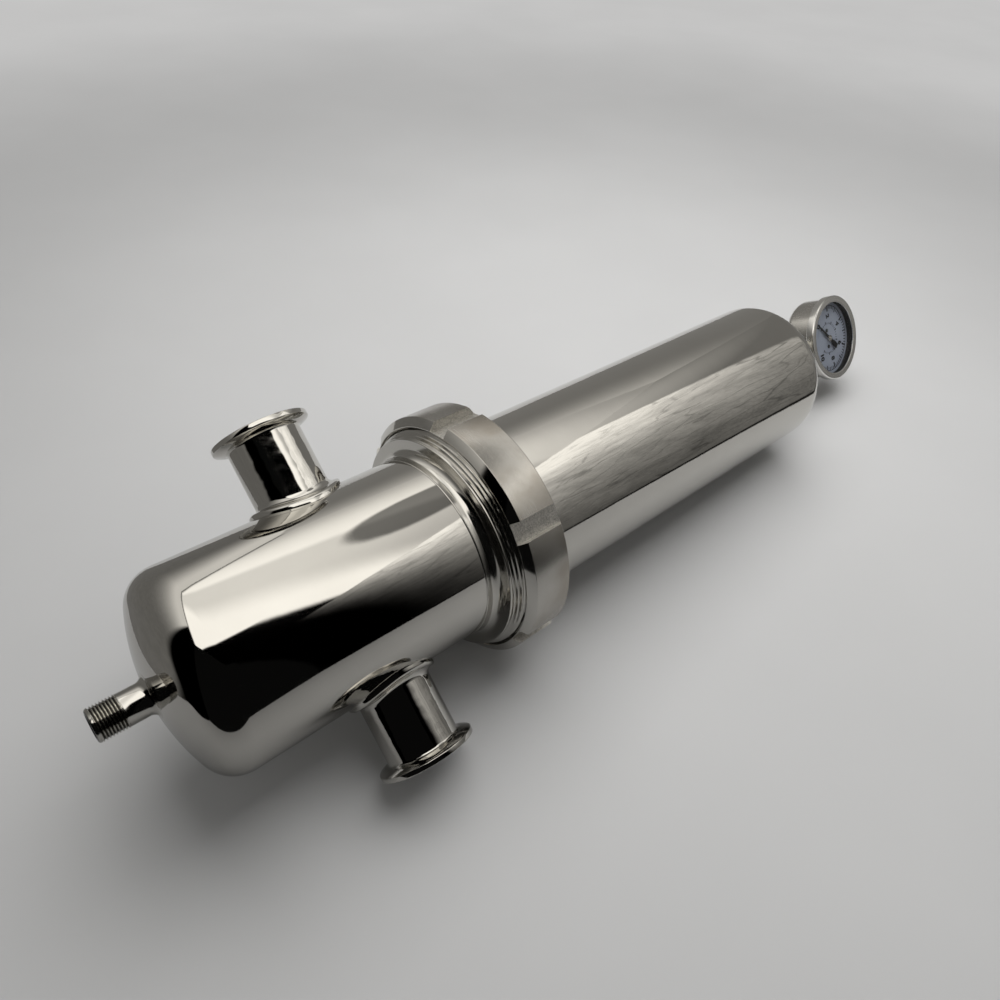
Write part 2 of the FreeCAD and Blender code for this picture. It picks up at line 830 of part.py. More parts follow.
def make_gauge_bezel():
    """Rolled ring that grips the window and the case's lip."""
    outer = bezel_r
    inner = outer - bezel_wall
    opening = outer - bezel_face_width
    inside_front = window_front()
    front = inside_front - bezel_wall
    crimp = -gauge_case_front + gauge_lip + bezel_gap
    back = crimp + bezel_wall
    case_r = gauge_case_r + bezel_gap
    roll = (inner, inside_front)
    outline = Outline(opening, inside_front)
    outline.line(opening, front + bezel_edge).line(opening + bezel_bevel, front).line(inner, front)
    outline.arc(on_circle(roll, bezel_wall, -45), (outer, inside_front))
    outline.line(outer, back - bezel_edge).line(outer - bezel_edge, back)
    outline.line(case_r, back).line(case_r, crimp)
    outline.line(inner, crimp).line(inner, inside_front)
    return spin_front(outline)


def make_gauge_window():
    front = window_front()
    return front_cylinder(gauge_lip_r, front, front + window_thickness)


def make_window_gasket():
    front = window_front() + window_thickness
    outer = gauge_lip_r - gasket_edge_gap
    skirt_outer = gauge_case_r - gauge_case_wall
    skirt_inner = skirt_outer - gasket_skirt
    foot = dial_front()
    outline = profile((skirt_inner, front), (outer, front), (outer, front + gasket_lip),
                      (skirt_outer, front + gasket_lip), (skirt_outer, foot), (skirt_inner, foot))
    return spin_front(outline)


def make_gauge_dial():
    front = dial_front()
    radius = gauge_case_r - gauge_case_wall - dial_rim_gap
    dial = front_cylinder(radius, front, front + dial_thickness)
    dial = dial.cut(front_cylinder(arbor_radius + dial_hole_gap, front - 1, front + 2))
    for across, up in dial_screw_places():
        dial = dial.cut(front_cylinder(dial_screw_od / 2, front - 1, front + 2, across, up))
    return dial


def dial_screw_places():
    across = plate_width / 2 - dial_screw_inset
    return [(-across, -plate_arch_drop), (across, -plate_arch_drop)]


def make_dial_screws():
    """Two screws through the dial into the posts on the movement's front plate."""
    front = dial_front()
    screws = []
    for across, up in dial_screw_places():
        head = front_cylinder(dial_screw_head_od / 2, front - dial_screw_head, front, across, up)
        shank = front_cylinder(dial_screw_od / 2, front, -movement_front, across, up)
        screws.append(head.fuse(shank).removeSplitter())
    return Part.makeCompound(screws)


def sector_pivot():
    return -(pinion_teeth + sector_teeth) * tooth_module / 2


def plate_outline(front):
    """A movement plate: rounded at the top, square at its foot on the socket."""
    back = front + plate_thickness
    half = plate_width / 2
    narrow = half - plate_shoulder
    foot_z = sector_pivot() - plate_foot_below_pivot
    arch = front_cylinder(half, front, back, 0, -plate_arch_drop)
    stem = block(-narrow, narrow, front, back, foot_z, -plate_arch_drop)
    waist = block(-half, half, front, back, -plate_waist_drop, -plate_arch_drop)
    return arch.fuse(stem).fuse(waist).removeSplitter()


def make_movement_front_plate():
    """Front plate with the dial's two posts and the stud that holds the hairspring's end."""
    front = -movement_front
    plate = plate_outline(front)
    post_front = dial_front() + dial_thickness
    for across, up in dial_screw_places():
        post = front_cylinder(dial_screw_od, post_front, front, across, up)
        plate = plate.fuse(post).cut(front_cylinder(dial_screw_od / 2, post_front, front, across, up))
    stud_x = -hairspring_end_radius()
    stud_front = hairspring_front() + hairspring_width
    plate = plate.fuse(front_cylinder(stud_radius, stud_front, front, stud_x, 0))
    plate = plate.cut(front_cylinder(arbor_radius + pivot_gap, front - 1, front + 2))
    return plate.cut(front_cylinder(pivot_radius + pivot_gap, front - 1, front + 2, 0, sector_pivot()))


def make_movement_back_plate():
    front = -movement_front + plate_thickness + movement_gap
    plate = plate_outline(front)
    plate = plate.cut(front_cylinder(pivot_radius + pivot_gap, front - 1, front + 2))
    return plate.cut(front_cylinder(pivot_radius + pivot_gap, front - 1, front + 2, 0, sector_pivot()))


def make_movement_pillars():
    low = -movement_front + plate_thickness
    foot = (pillar_foot[0], sector_pivot() + pillar_foot[1])
    places = [pillar_left, pillar_right, foot]
    high = low + movement_gap
    return Part.makeCompound([front_cylinder(pillar_radius, low, high, *place) for place in places])


def involute(base, radius):
    """The polar angle that an involute has turned through at a radius."""
    if radius <= base:
        return 0.0
    pressure = math.acos(base / radius)
    return math.tan(pressure) - pressure


def tooth_points(teeth, centre_angle):
    """One tooth's outline as (radius, angle) pairs, from its left root to its right root."""
    pitch_r = teeth * tooth_module / 2
    base_r = pitch_r * math.cos(math.radians(pressure_angle_deg))
    tip_r = pitch_r + tooth_addendum * tooth_module
    root_r = pitch_r - tooth_dedendum * tooth_module
    half = math.pi / (2 * teeth) - tooth_backlash / (2 * pitch_r)
    at_pitch = involute(base_r, pitch_r)
    levels = [root_r, max(base_r, root_r), pitch_r, (pitch_r + tip_r) / 2, tip_r]
    right = [(radius, centre_angle - half - at_pitch + involute(base_r, radius)) for radius in levels]
    left = [(radius, 2 * centre_angle - angle) for radius, angle in reversed(right)]
    return right + left


def gear_face(points, across, up, depth):
    """A flat face in the gauge's front plane from (radius, angle) pairs."""
    spots = []
    for radius, angle in points:
        spot = FreeCAD.Vector(across + radius * math.cos(angle), depth, up + radius * math.sin(angle))
        if not spots or spot.distanceToPoint(spots[-1]) > 1e-4:
            spots.append(spot)
    return Part.Face(Part.makePolygon(spots + spots[:1]))


def gear_depth():
    """Front depth of the meshing gears, between the plates."""
    return -movement_front + plate_thickness + gear_plate_gap


def make_pinion_arbor():
    front = gear_depth()
    points = []
    for index in range(pinion_teeth):
        points += tooth_points(pinion_teeth, -math.pi / 2 + index * 2 * math.pi / pinion_teeth)
    pinion = solid(gear_face(points, 0, 0, front).extrude(FreeCAD.Vector(0, gear_thickness, 0)))
    shoulder = -movement_front + plate_thickness + movement_gap
    arbor_end = shoulder - arbor_end_gap
    arbor = front_cylinder(arbor_radius, dial_front() - arbor_past_dial, arbor_end)
    pivot = front_cylinder(pivot_radius, arbor_end, shoulder + plate_thickness)
    return pinion.fuse(arbor).fuse(pivot).removeSplitter()


def make_gauge_sector():
    """Toothed sector on its own arbor, with the tail that the tube's link pulls."""
    front = gear_depth()
    up = sector_pivot()
    pitch_angle = 2 * math.pi / sector_teeth
    spare = math.radians(sector_spare_deg)
    travel = math.radians(sector_travel_deg)
    first = math.ceil(-(travel + spare) / pitch_angle)
    last = math.floor(spare / pitch_angle)
    points = []
    for index in range(first, last + 1):
        points += tooth_points(sector_teeth, math.pi / 2 + (index - 0.5) * pitch_angle)
    hub_r = sector_hub_radius
    back = front + gear_thickness
    half_width = tail_half_width
    low_angle = math.pi / 2 + (first - 1) * pitch_angle
    high_angle = math.pi / 2 + last * pitch_angle
    root_r = points[0][0]
    outline = [(hub_r, low_angle), (root_r, low_angle)] + points
    outline += [(root_r, high_angle), (hub_r, high_angle)]
    web = solid(gear_face(outline, 0, up, front).extrude(FreeCAD.Vector(0, gear_thickness, 0)))
    half_travel = math.radians(sector_travel_deg / 2)
    tail_x = tail_radius * math.cos(half_travel)
    tail_z = up - tail_radius * math.sin(half_travel)
    tail = block(0, tail_radius, front, back, -half_width, half_width)
    tail = moved(turned(tail, sector_travel_deg / 2, ORIGIN, Y_AXIS), z=up)
    tail_end = front_cylinder(half_width, front, back, tail_x, tail_z)
    tail_pin = front_cylinder(pivot_radius, front, back + tail_pin_reach, tail_x, tail_z)
    hub = front_cylinder(hub_r, front, back, 0, up)
    low = -movement_front
    high = low + 2 * plate_thickness + movement_gap
    shoulder = plate_thickness + arbor_end_gap
    arbor = front_cylinder(arbor_radius, low + shoulder, high - shoulder, 0, up)
    pivots = front_cylinder(pivot_radius, low, high, 0, up)
    return web.fuse([tail, tail_end, tail_pin, hub, arbor, pivots]).removeSplitter()


def tip_place():
    """Where the Bourdon tube's free end is, across and up from the gauge's centre."""
    return on_circle((0, 0), bourdon_radius, bourdon_start_deg - bourdon_sweep_deg)


def tip_pin_place():
    """The pin's place in the cap: half the cap's length past the tube's end."""
    end_deg = bourdon_start_deg - bourdon_sweep_deg
    return on_circle(tip_place(), tip_cap_length / 2, end_deg - 90)


def link_depth():
    return gear_depth() + gear_thickness + link_gear_gap


def make_tip_link():
    """Flat link from the tube's tip to the sector's tail, slotted at the tip."""
    half_travel = math.radians(sector_travel_deg / 2)
    tail = (tail_radius * math.cos(half_travel), sector_pivot() - tail_radius * math.sin(half_travel))
    tip = tip_pin_place()
    front = link_depth()
    thickness = link_thickness
    length = math.dist(tail, tip)
    slope = math.degrees(math.atan2(tip[1] - tail[1], tip[0] - tail[0]))
    bar = block(0, length, front, front + thickness, -link_half_width, link_half_width)
    bar = moved(turned(bar, -slope, ORIGIN, Y_AXIS), x=tail[0], z=tail[1])
    tail_eye = front_cylinder(link_eye_radius, front, front + thickness, *tail)
    tip_eye = slotted_eye(link_eye_radius, front, thickness, tip)
    link = bar.fuse([tail_eye, tip_eye]).removeSplitter()
    link = link.cut(front_cylinder(pivot_radius + link_eye_gap, front - 1, front + 2, *tail))
    return link.cut(slotted_eye(pivot_radius + link_eye_gap, front - 1, 3, tip))


def slotted_eye(radius, front, thickness, tip):
    """An upright slot shape below a point, as long as the link's travel."""
    travel = 2 * tail_radius * math.sin(math.radians(sector_travel_deg / 2))
    upper = front_cylinder(radius, front, front + thickness, *tip)
    lower = front_cylinder(radius, front, front + thickness, tip[0], tip[1] - travel)
    middle = block(tip[0] - radius, tip[0] + radius, front, front + thickness, tip[1] - travel, tip[1])
    return upper.fuse([lower, middle])


def bourdon_front():
    """The tube lies just behind the movement's back plate."""
    return -movement_front + 2 * plate_thickness + movement_gap + bourdon_gap


def bourdon_bar(inset):
    """The C-shaped bar of the tube's outline, drawn in by an inset."""
    front = bourdon_front() + inset
    back = bourdon_front() + bourdon_depth - inset
    half = bourdon_thickness / 2 - inset
    outline = Outline(bourdon_radius - half, front + half)
    outline.arc((bourdon_radius, front), (bourdon_radius + half, front + half))
    outline.line(bourdon_radius + half, back - half)
    outline.arc((bourdon_radius, back), (bourdon_radius - half, back - half))
    section = turned(outline.face(), -90, ORIGIN, X_AXIS)
    section = turned(section, -bourdon_start_deg, ORIGIN, Y_AXIS)
    return solid(section.revolve(ORIGIN, Y_AXIS, bourdon_sweep_deg))


def make_bourdon_tube():
    """Flattened C-shaped tube: pressure straightens it and pulls on the link."""
    return bourdon_bar(0).cut(bourdon_bar(bourdon_wall))


def make_tube_tip():
    """Cap on the tube's free end, with the pin that the link's slot rides on."""
    across, up = tip_place()
    front = bourdon_front()
    half = bourdon_thickness / 2 + tip_cap_wall
    cap_front = front - tip_cap_front
    cap = block(-half, half, cap_front, front + bourdon_depth, -tip_cap_length, 0)
    cap = turned(cap, bourdon_sweep_deg - bourdon_start_deg, ORIGIN, Y_AXIS)
    cap = moved(cap, x=across, z=up)
    pin_x, pin_z = tip_pin_place()
    pin = front_cylinder(pivot_radius, link_depth() - tip_pin_past_link, front, pin_x, pin_z)
    return cap.fuse(pin).removeSplitter()


def hairspring_front():
    return dial_front() + dial_thickness + hairspring_gap


def hairspring_radii():
    """Radius of each half turn: every second half is drawn about a centre half a pitch away."""
    start = arbor_radius + hairspring_gap + hairspring_thickness / 2
    count = int(hairspring_turns * 2)
    return [start + index * hairspring_pitch / 2 for index in range(count)]


def hairspring_end_radius():
    return hairspring_radii()[-1]


def make_hairspring():
    """Flat spiral of half circles round the pinion's arbor, in front of the movement."""
    front = hairspring_front()
    shift = hairspring_pitch / 2

    def half_turns(offset):
        arcs = []
        for index, radius in enumerate(hairspring_radii()):
            centre = 0 if index % 2 == 0 else shift
            side = 1 if index % 2 == 0 else -1
            reach = radius + offset
            start = FreeCAD.Vector(centre + side * reach, front, 0)
            middle = FreeCAD.Vector(centre, front, side * reach)
            end = FreeCAD.Vector(centre - side * reach, front, 0)
            arcs.append(Part.Arc(start, middle, end).toShape())
        return arcs, start_of(arcs[0]), end_of(arcs[-1])

    outer, outer_start, outer_end = half_turns(hairspring_thickness / 2)
    inner, inner_start, inner_end = half_turns(-hairspring_thickness / 2)
    caps = [Part.makeLine(outer_start, inner_start), Part.makeLine(outer_end, inner_end)]
    loop = Part.Wire(Part.__sortEdges__(outer + inner + caps))
    return solid(Part.Face(loop).extrude(FreeCAD.Vector(0, hairspring_width, 0)))


def start_of(edge):
    return edge.valueAt(edge.FirstParameter)


def end_of(edge):
    return edge.valueAt(edge.LastParameter)


def make_gauge_socket():
    """Stem, square and inner block in one piece, drilled from below."""
    case_bottom = -gauge_case_r
    stem_top = -gauge_stem_length
    washer_top = stem_top + washer_thickness
    collar_top_z = washer_top + stem_collar_height
    square_top = collar_top_z + stem_square_height
    thread = cylinder(stem_thread_od / 2, washer_top - stem_thread_length, washer_top)
    collar = cylinder(stem_collar_od / 2, washer_top, collar_top_z)
    half = stem_square / 2
    square = block(-half, half, -half, half, collar_top_z, square_top)
    square = square.common(cylinder(stem_square_corners / 2, collar_top_z, square_top))
    case_inside = front_cylinder(gauge_case_r - gauge_case_wall, -gauge_case_front, gauge_case_back)
    neck = cylinder(stem_neck_od / 2, square_top, case_bottom + 4).cut(case_inside)
    back_high = bourdon_front() + bourdon_depth
    width = socket_block_width / 2
    plate_back = -movement_front + 2 * plate_thickness + movement_gap
    front_low = dial_front() + dial_thickness + socket_dial_gap
    lower = block(-width, width, front_low, back_high, case_bottom, -socket_step)
    upper = block(-width, width, plate_back, back_high, -socket_step - socket_tube_step, -socket_block_top)
    inner = lower.fuse(upper).common(case_inside)
    socket = thread.fuse([collar, square, neck, inner]).removeSplitter()
    drill = cylinder(stem_bore / 2, washer_top - stem_thread_length - 1, -socket_step - stem_bore_end)
    gallery_y = bourdon_front() + bourdon_depth / 2
    gallery_z = -socket_step - gallery_below_step
    gallery = Part.makeCylinder(gallery_bore / 2, gallery_y, FreeCAD.Vector(0, 0, gallery_z), Y_AXIS)
    riser = cylinder(gallery_bore / 2, gallery_z, -bourdon_radius, 0, gallery_y)
    return socket.cut(bourdon_bar(0)).cut([drill, gallery, riser])


def make_gauge_washer():
    low = -gauge_stem_length
    return ring(stem_thread_od / 2 + washer_bore_gap, stem_collar_od / 2, low, low + washer_thickness)


def make_gauge_pointer():
    """Balanced pointer: a long tapered tip and a broad tail on a round hub."""
    front = dial_front() - pointer_height
    edge = [(pointer_tip, 0.0), (0.0, pointer_root_half), (-pointer_neck, pointer_neck_half),
            (-pointer_tail_start, pointer_tail_half), (-pointer_tail, pointer_tail_half)]
    outline = edge + [(across, -up) for across, up in reversed(edge[1:])]
    corners = [FreeCAD.Vector(across, front, up) for across, up in outline]
    face = Part.Face(Part.makePolygon(corners + corners[:1]))
    blade = solid(face.extrude(FreeCAD.Vector(0, pointer_thickness, 0)))
    hub = front_cylinder(pointer_hub_radius, front - pointer_hub_front, front + pointer_hub_back)
    pointer = blade.fuse(hub).removeSplitter()
    pointer = pointer.cut(front_cylinder(arbor_radius, front - 3, front + 3))
    return turned(pointer, -pointer_rest_deg, ORIGIN, Y_AXIS)


def make_vent_plug():
    back = gauge_case_back
    inside = back - gauge_case_wall
    up = gauge_case_r / 2
    hole_r = vent_plug_od / 2 - vent_plug_rim
    stem = front_cylinder(hole_r, inside, back, 0, up)
    head = front_cylinder(vent_plug_od / 2, back, back + vent_plug_head, 0, up)
    bulb = front_cylinder(hole_r + vent_plug_bulb_reach, inside - vent_plug_bulb, inside, 0, up)
    return stem.fuse([head, bulb]).removeSplitter()


save("base_shell", make_base_shell())
outlet_ferrule = make_outlet_ferrule()
save("outlet_ferrule", outlet_ferrule)
save("inlet_ferrule", turned(outlet_ferrule, 180))
outlet_collar = make_outlet_collar()
save("outlet_collar", outlet_collar)
save("inlet_collar", turned(outlet_collar, 180))
save("drain_nipple", make_drain_nipple())
save("threaded_collar", make_threaded_collar())
save("body_gasket", make_body_gasket())
save("outlet_elbow", make_outlet_elbow())
save("cartridge_seat", make_cartridge_seat())
save("cartridge_adaptor", make_cartridge_adaptor())
save("lower_o_ring", make_o_ring(o_ring_heights()[0]))
save("upper_o_ring", make_o_ring(o_ring_heights()[1]))
save("lower_end_cap", make_lower_end_cap())
save("cartridge_core", make_cartridge_core())
save("filter_media", make_filter_media())
save("cartridge_cage", make_cartridge_cage())
save("upper_end_cap", make_upper_end_cap())
save("bowl_liner", make_bowl_liner())
save("bowl_shell", make_bowl_shell())
save("gauge_boss", make_gauge_boss())
save("union_nut", make_union_nut())
gauge_makers = {
    "gauge_case": make_gauge_case,
    "gauge_bezel": make_gauge_bezel,
    "gauge_window": make_gauge_window,
    "window_gasket": make_window_gasket,
    "gauge_dial": make_gauge_dial,
    "dial_screws": make_dial_screws,
    "movement_front_plate": make_movement_front_plate,
    "movement_back_plate": make_movement_back_plate,
    "movement_pillars": make_movement_pillars,
    "pinion_arbor": make_pinion_arbor,
    "gauge_sector": make_gauge_sector,
    "tip_link": make_tip_link,
    "bourdon_tube": make_bourdon_tube,
    "tube_tip": make_tube_tip,
    "hairspring": make_hairspring,
    "gauge_socket": make_gauge_socket,
    "gauge_washer": make_gauge_washer,
    "gauge_pointer": make_gauge_pointer,
    "vent_plug": make_vent_plug,
}
for node, maker in gauge_makers.items():
    save(node, gauge_place(maker()))
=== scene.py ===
import bmesh
import bpy
import math
from mathutils import Matrix, Vector


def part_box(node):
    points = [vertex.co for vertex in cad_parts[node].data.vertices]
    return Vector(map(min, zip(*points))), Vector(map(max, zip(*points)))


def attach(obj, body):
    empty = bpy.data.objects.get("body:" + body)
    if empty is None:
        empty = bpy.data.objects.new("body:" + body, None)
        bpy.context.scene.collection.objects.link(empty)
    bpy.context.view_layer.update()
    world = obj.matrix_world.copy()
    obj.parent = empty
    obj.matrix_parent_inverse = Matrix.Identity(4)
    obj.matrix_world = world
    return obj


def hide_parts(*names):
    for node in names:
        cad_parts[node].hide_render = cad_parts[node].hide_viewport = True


# The looks of a sanitary steam filter: mirror-polished base and bowl, a satin slotted union nut,
# two clamp ferrules, a threaded drain nipple and a dial pressure gauge.
# Outlines are in millimetres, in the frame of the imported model.

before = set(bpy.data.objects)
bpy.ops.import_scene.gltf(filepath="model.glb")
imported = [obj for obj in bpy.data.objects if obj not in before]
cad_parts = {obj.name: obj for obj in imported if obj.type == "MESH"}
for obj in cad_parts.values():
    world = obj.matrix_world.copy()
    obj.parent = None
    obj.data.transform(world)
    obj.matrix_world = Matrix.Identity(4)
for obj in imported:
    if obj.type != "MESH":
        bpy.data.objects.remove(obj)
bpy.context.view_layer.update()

MM = 0.001
AXES = {"X": Vector((1, 0, 0)), "Y": Vector((0, 1, 0)), "Z": Vector((0, 0, 1))}

# Steps in a full turn, fewer for smaller pieces
ROUND_STEPS = 256
CASE_STEPS = 192
RING_STEPS = 144
GLASS_STEPS = 128
SMALL_STEPS = 96
HUB_STEPS = 48


def low_mm(node):
    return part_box(node)[0] / MM


def high_mm(node):
    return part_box(node)[1] / MM


# Measures read from the frame
shell_r = high_mm("bowl_shell").x
base_tip = low_mm("base_shell").z
base_rim = high_mm("base_shell").z
bowl_rim = low_mm("bowl_shell").z
bowl_tip = high_mm("bowl_shell").z
collar_top = high_mm("threaded_collar").z
thread_r = high_mm("threaded_collar").x
liner_face = low_mm("bowl_liner").z
liner_r = high_mm("bowl_liner").x
nut_r = high_mm("union_nut").x
nut_low = low_mm("union_nut").z
nut_high = high_mm("union_nut").z
nozzle_z = (low_mm("outlet_ferrule").z + high_mm("outlet_ferrule").z) / 2
nozzle_reach = high_mm("outlet_ferrule").x
flange_r = high_mm("outlet_ferrule").y
boss_top = high_mm("gauge_boss").z
gauge_z = (low_mm("gauge_case").z + high_mm("gauge_case").z) / 2

# Sizes shared with the construction
shell_wall = 2.0
crown_radius = 110.0
knuckle_radius = 17.0
nozzle_r = 19.05
nozzle_wall = 1.5
drain_neck_r = 7.8
boss_r = 11.0
bore_r = shell_r - shell_wall
gauge_turn = math.radians(21.0)
thread_pitch = 1.9
thread_start = 181.62


# Outlines


def circle_point(centre, radius, degrees):
    angle = math.radians(degrees)
    return (centre[0] + radius * math.cos(angle), centre[1] + radius * math.sin(angle))


def arc(centre, radius, start, end, pieces):
    """Points along a circle between two angles in degrees, both ends included."""
    return [circle_point(centre, radius, start + (end - start) * i / pieces) for i in range(pieces + 1)]


def rows(start, end, pieces):
    """Points that divide a straight stretch, without its start."""
    return [tuple(Vector(start).lerp(Vector(end), (i + 1) / pieces)) for i in range(pieces)]


def rounded(*corners):
    """A closed outline whose corners with a third value are rounded by that radius."""
    points = []
    for index, corner in enumerate(corners):
        here = Vector(corner[:2])
        radius = corner[2] if len(corner) > 2 else 0
        if not radius:
            points.append(tuple(here))
            continue
        before = (Vector(corners[index - 1][:2]) - here).normalized()
        after = (Vector(corners[(index + 1) % len(corners)][:2]) - here).normalized()
        half = before.angle(after) / 2
        centre = here + (before + after).normalized() * (radius / math.sin(half))
        start = here + before * (radius / math.tan(half)) - centre
        end = here + after * (radius / math.tan(half)) - centre
        pieces = max(2, math.ceil(math.degrees(math.pi - 2 * half) / 12))
        for step in range(pieces + 1):
            points.append(tuple(centre + start.slerp(end, step / pieces) * radius))
    return points


# Meshes


def piece_from(bm, name, body, finish, stands_for, smooth=35.0):
    """Finishes a bmesh in millimetres as a piece that rides on a body."""
    bmesh.ops.scale(bm, vec=(MM, MM, MM), verts=bm.verts)
    piece_in_metres(bm, name, body, finish, stands_for, smooth)


def piece_in_metres(bm, name, body, finish, stands_for, smooth):
    """Edges that turn by more than the smooth angle, in degrees, stay sharp."""
    mesh = bpy.data.meshes.new(name)
    bm.to_mesh(mesh)
    bm.free()
    mesh.shade_smooth()
    mesh.set_sharp_from_angle(angle=math.radians(smooth))
    finishes = finish if isinstance(finish, list) else [finish]
    for material in finishes:
        mesh.materials.append(material)
    piece = bpy.data.objects.new(name, mesh)
    bpy.context.scene.collection.objects.link(piece)
    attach(piece, body)
    if stands_for:
        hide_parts(*stands_for)


def shift(bm, x, y, z):
    bmesh.ops.translate(bm, vec=(x, y, z), verts=bm.verts)


def turn_about(bm, angle, axis="Z"):
    bmesh.ops.rotate(bm, cent=(0, 0, 0), matrix=Matrix.Rotation(angle, 3, axis), verts=bm.verts)


def spun(outline, axis="Z", steps=ROUND_STEPS, closed=True):
    """An outline of (radius, distance along the axis) spun into a closed skin.

    An outline that isn't closed starts and ends on the axis.
    """
    bm = bmesh.new()
    places = {
        "Z": lambda radius, along: (radius, 0, along),
        "X": lambda radius, along: (along, 0, radius),
        "Y": lambda radius, along: (radius, along, 0),
    }
    verts = [bm.verts.new(places[axis](*point)) for point in outline]
    edges = [bm.edges.new(pair) for pair in zip(verts, verts[1:])]
    if closed:
        edges.append(bm.edges.new((verts[-1], verts[0])))
    bmesh.ops.spin(bm, geom=verts + edges, cent=(0, 0, 0), axis=AXES[axis], angle=2 * math.pi,
                   steps=steps, use_merge=True, dvec=(0, 0, 0))
    bmesh.ops.remove_doubles(bm, verts=bm.verts, dist=1e-4)
    bmesh.ops.recalc_face_normals(bm, faces=bm.faces)
    return bm


def boxed(width, depth, height, centre, angle, axis="Z"):
    """A block in millimetres turned about an axis, its centre given before the turn."""
    bm = bmesh.new()
    bmesh.ops.create_cube(bm, size=1.0)
    bmesh.ops.scale(bm, vec=(width, depth, height), verts=bm.verts)
    shift(bm, *centre)
    turn_about(bm, angle, axis)
    return bm


def joined(parts):
    """Several bmeshes as one."""
    whole = bmesh.new()
    for part in parts:
        scratch = bpy.data.meshes.new("scratch")
        part.to_mesh(scratch)
        part.free()
        whole.from_mesh(scratch)
        bpy.data.meshes.remove(scratch)
    return whole


def set_index(bm, index=0):
    for face in bm.faces:
        face.material_index = index


def scratch_object(bm, name, material_index=0):
    set_index(bm, material_index)
    mesh = bpy.data.meshes.new(name)
    bm.to_mesh(mesh)
    bm.free()
    thing = bpy.data.objects.new(name, mesh)
    bpy.context.scene.collection.objects.link(thing)
    return thing


def cut(bm, cutter):
    """A bmesh less another one; faces made by the cutter get material index 1."""
    target = scratch_object(bm, "cut_target")
    tool = scratch_object(cutter, "cut_tool", 1)
    for thing in (target, tool):
        thing.data.materials.append(None)
        thing.data.materials.append(None)
    modifier = target.modifiers.new("cut", "BOOLEAN")
    modifier.operation = "DIFFERENCE"
    modifier.solver = "EXACT"
    modifier.object = tool
    bpy.context.view_layer.update()
    result = bmesh.new()
    result.from_object(target, bpy.context.evaluated_depsgraph_get())
    for thing in (target, tool):
        mesh = thing.data
        bpy.data.objects.remove(thing)
        bpy.data.meshes.remove(mesh)
    return result


def bevel(bm, offset, angle):
    """Bevels the edges that turn by more than an angle in degrees."""
    limit = math.radians(angle)
    edges = [edge for edge in bm.edges if edge.is_manifold and edge.calc_face_angle() > limit]
    bmesh.ops.bevel(bm, geom=edges, offset=offset, affect="EDGES", segments=1, profile=0.5,
                    material=-1, clamp_overlap=True)


def cut_thread(bm, crest, depth, pitch, low, high, lead, start=0.0):
    """Sinks a finely divided wall along a helix, fading over a lead at both ends.

    The crest's radius is a function of the height; a depth below nought cuts outwards.
    """
    slack = 0.02
    for vert in bm.verts:
        x, y, z = vert.co
        radius = math.hypot(x, y)
        if z < low or z > high or abs(radius - crest(z)) > slack:
            continue
        phase = ((z - start) / pitch - math.atan2(y, x) / (2 * math.pi)) % 1.0
        fade = min(1.0, (z - low) / lead, (high - z) / lead)
        moved = radius - depth * vee_form(phase) * max(fade, 0.0)
        vert.co.x = x * moved / radius
        vert.co.y = y * moved / radius


def vee_form(phase):
    """Thread with straight flanks: 0 on the narrow crest in the middle, 1 in the narrow root."""
    crest_share = 0.10
    flank_share = 0.82
    wave = abs(2 * phase - 1)
    return min(1.0, max(0.0, (wave - crest_share) / flank_share))


# Paint


class Value:
    """A number that varies over a surface. Sums and products of values add Math nodes."""

    def __init__(self, paint, socket):
        self.paint = paint
        self.socket = socket

    def maths(self, operation, *values):
        return self.paint.node("ShaderNodeMath", {"operation": operation}, dict(enumerate(values)))

    def __add__(self, other):
        return self.maths("ADD", self, other)

    def __sub__(self, other):
        return self.maths("SUBTRACT", self, other)

    def __rsub__(self, other):
        return self.maths("SUBTRACT", other, self)

    def __mul__(self, other):
        return self.maths("MULTIPLY", self, other)

    def __truediv__(self, other):
        return self.maths("DIVIDE", self, other)

    def __pow__(self, other):
        return self.maths("POWER", self, other)

    __radd__ = __add__
    __rmul__ = __mul__

    def step(self, edge, width):
        """0 below an edge and 1 above it, with a soft change of a given width."""
        settings = {"interpolation_type": "SMOOTHSTEP", "clamp": True}
        sockets = {"Value": self, "From Min": edge - width / 2, "From Max": edge + width / 2}
        return self.paint.node("ShaderNodeMapRange", settings, sockets)

    def between(self, low, high, width):
        return self.step(low, width) * (1 - self.step(high, width))

    def maximum(self, other):
        return self.maths("MAXIMUM", self, other)

    def sine(self):
        return self.maths("SINE", self)


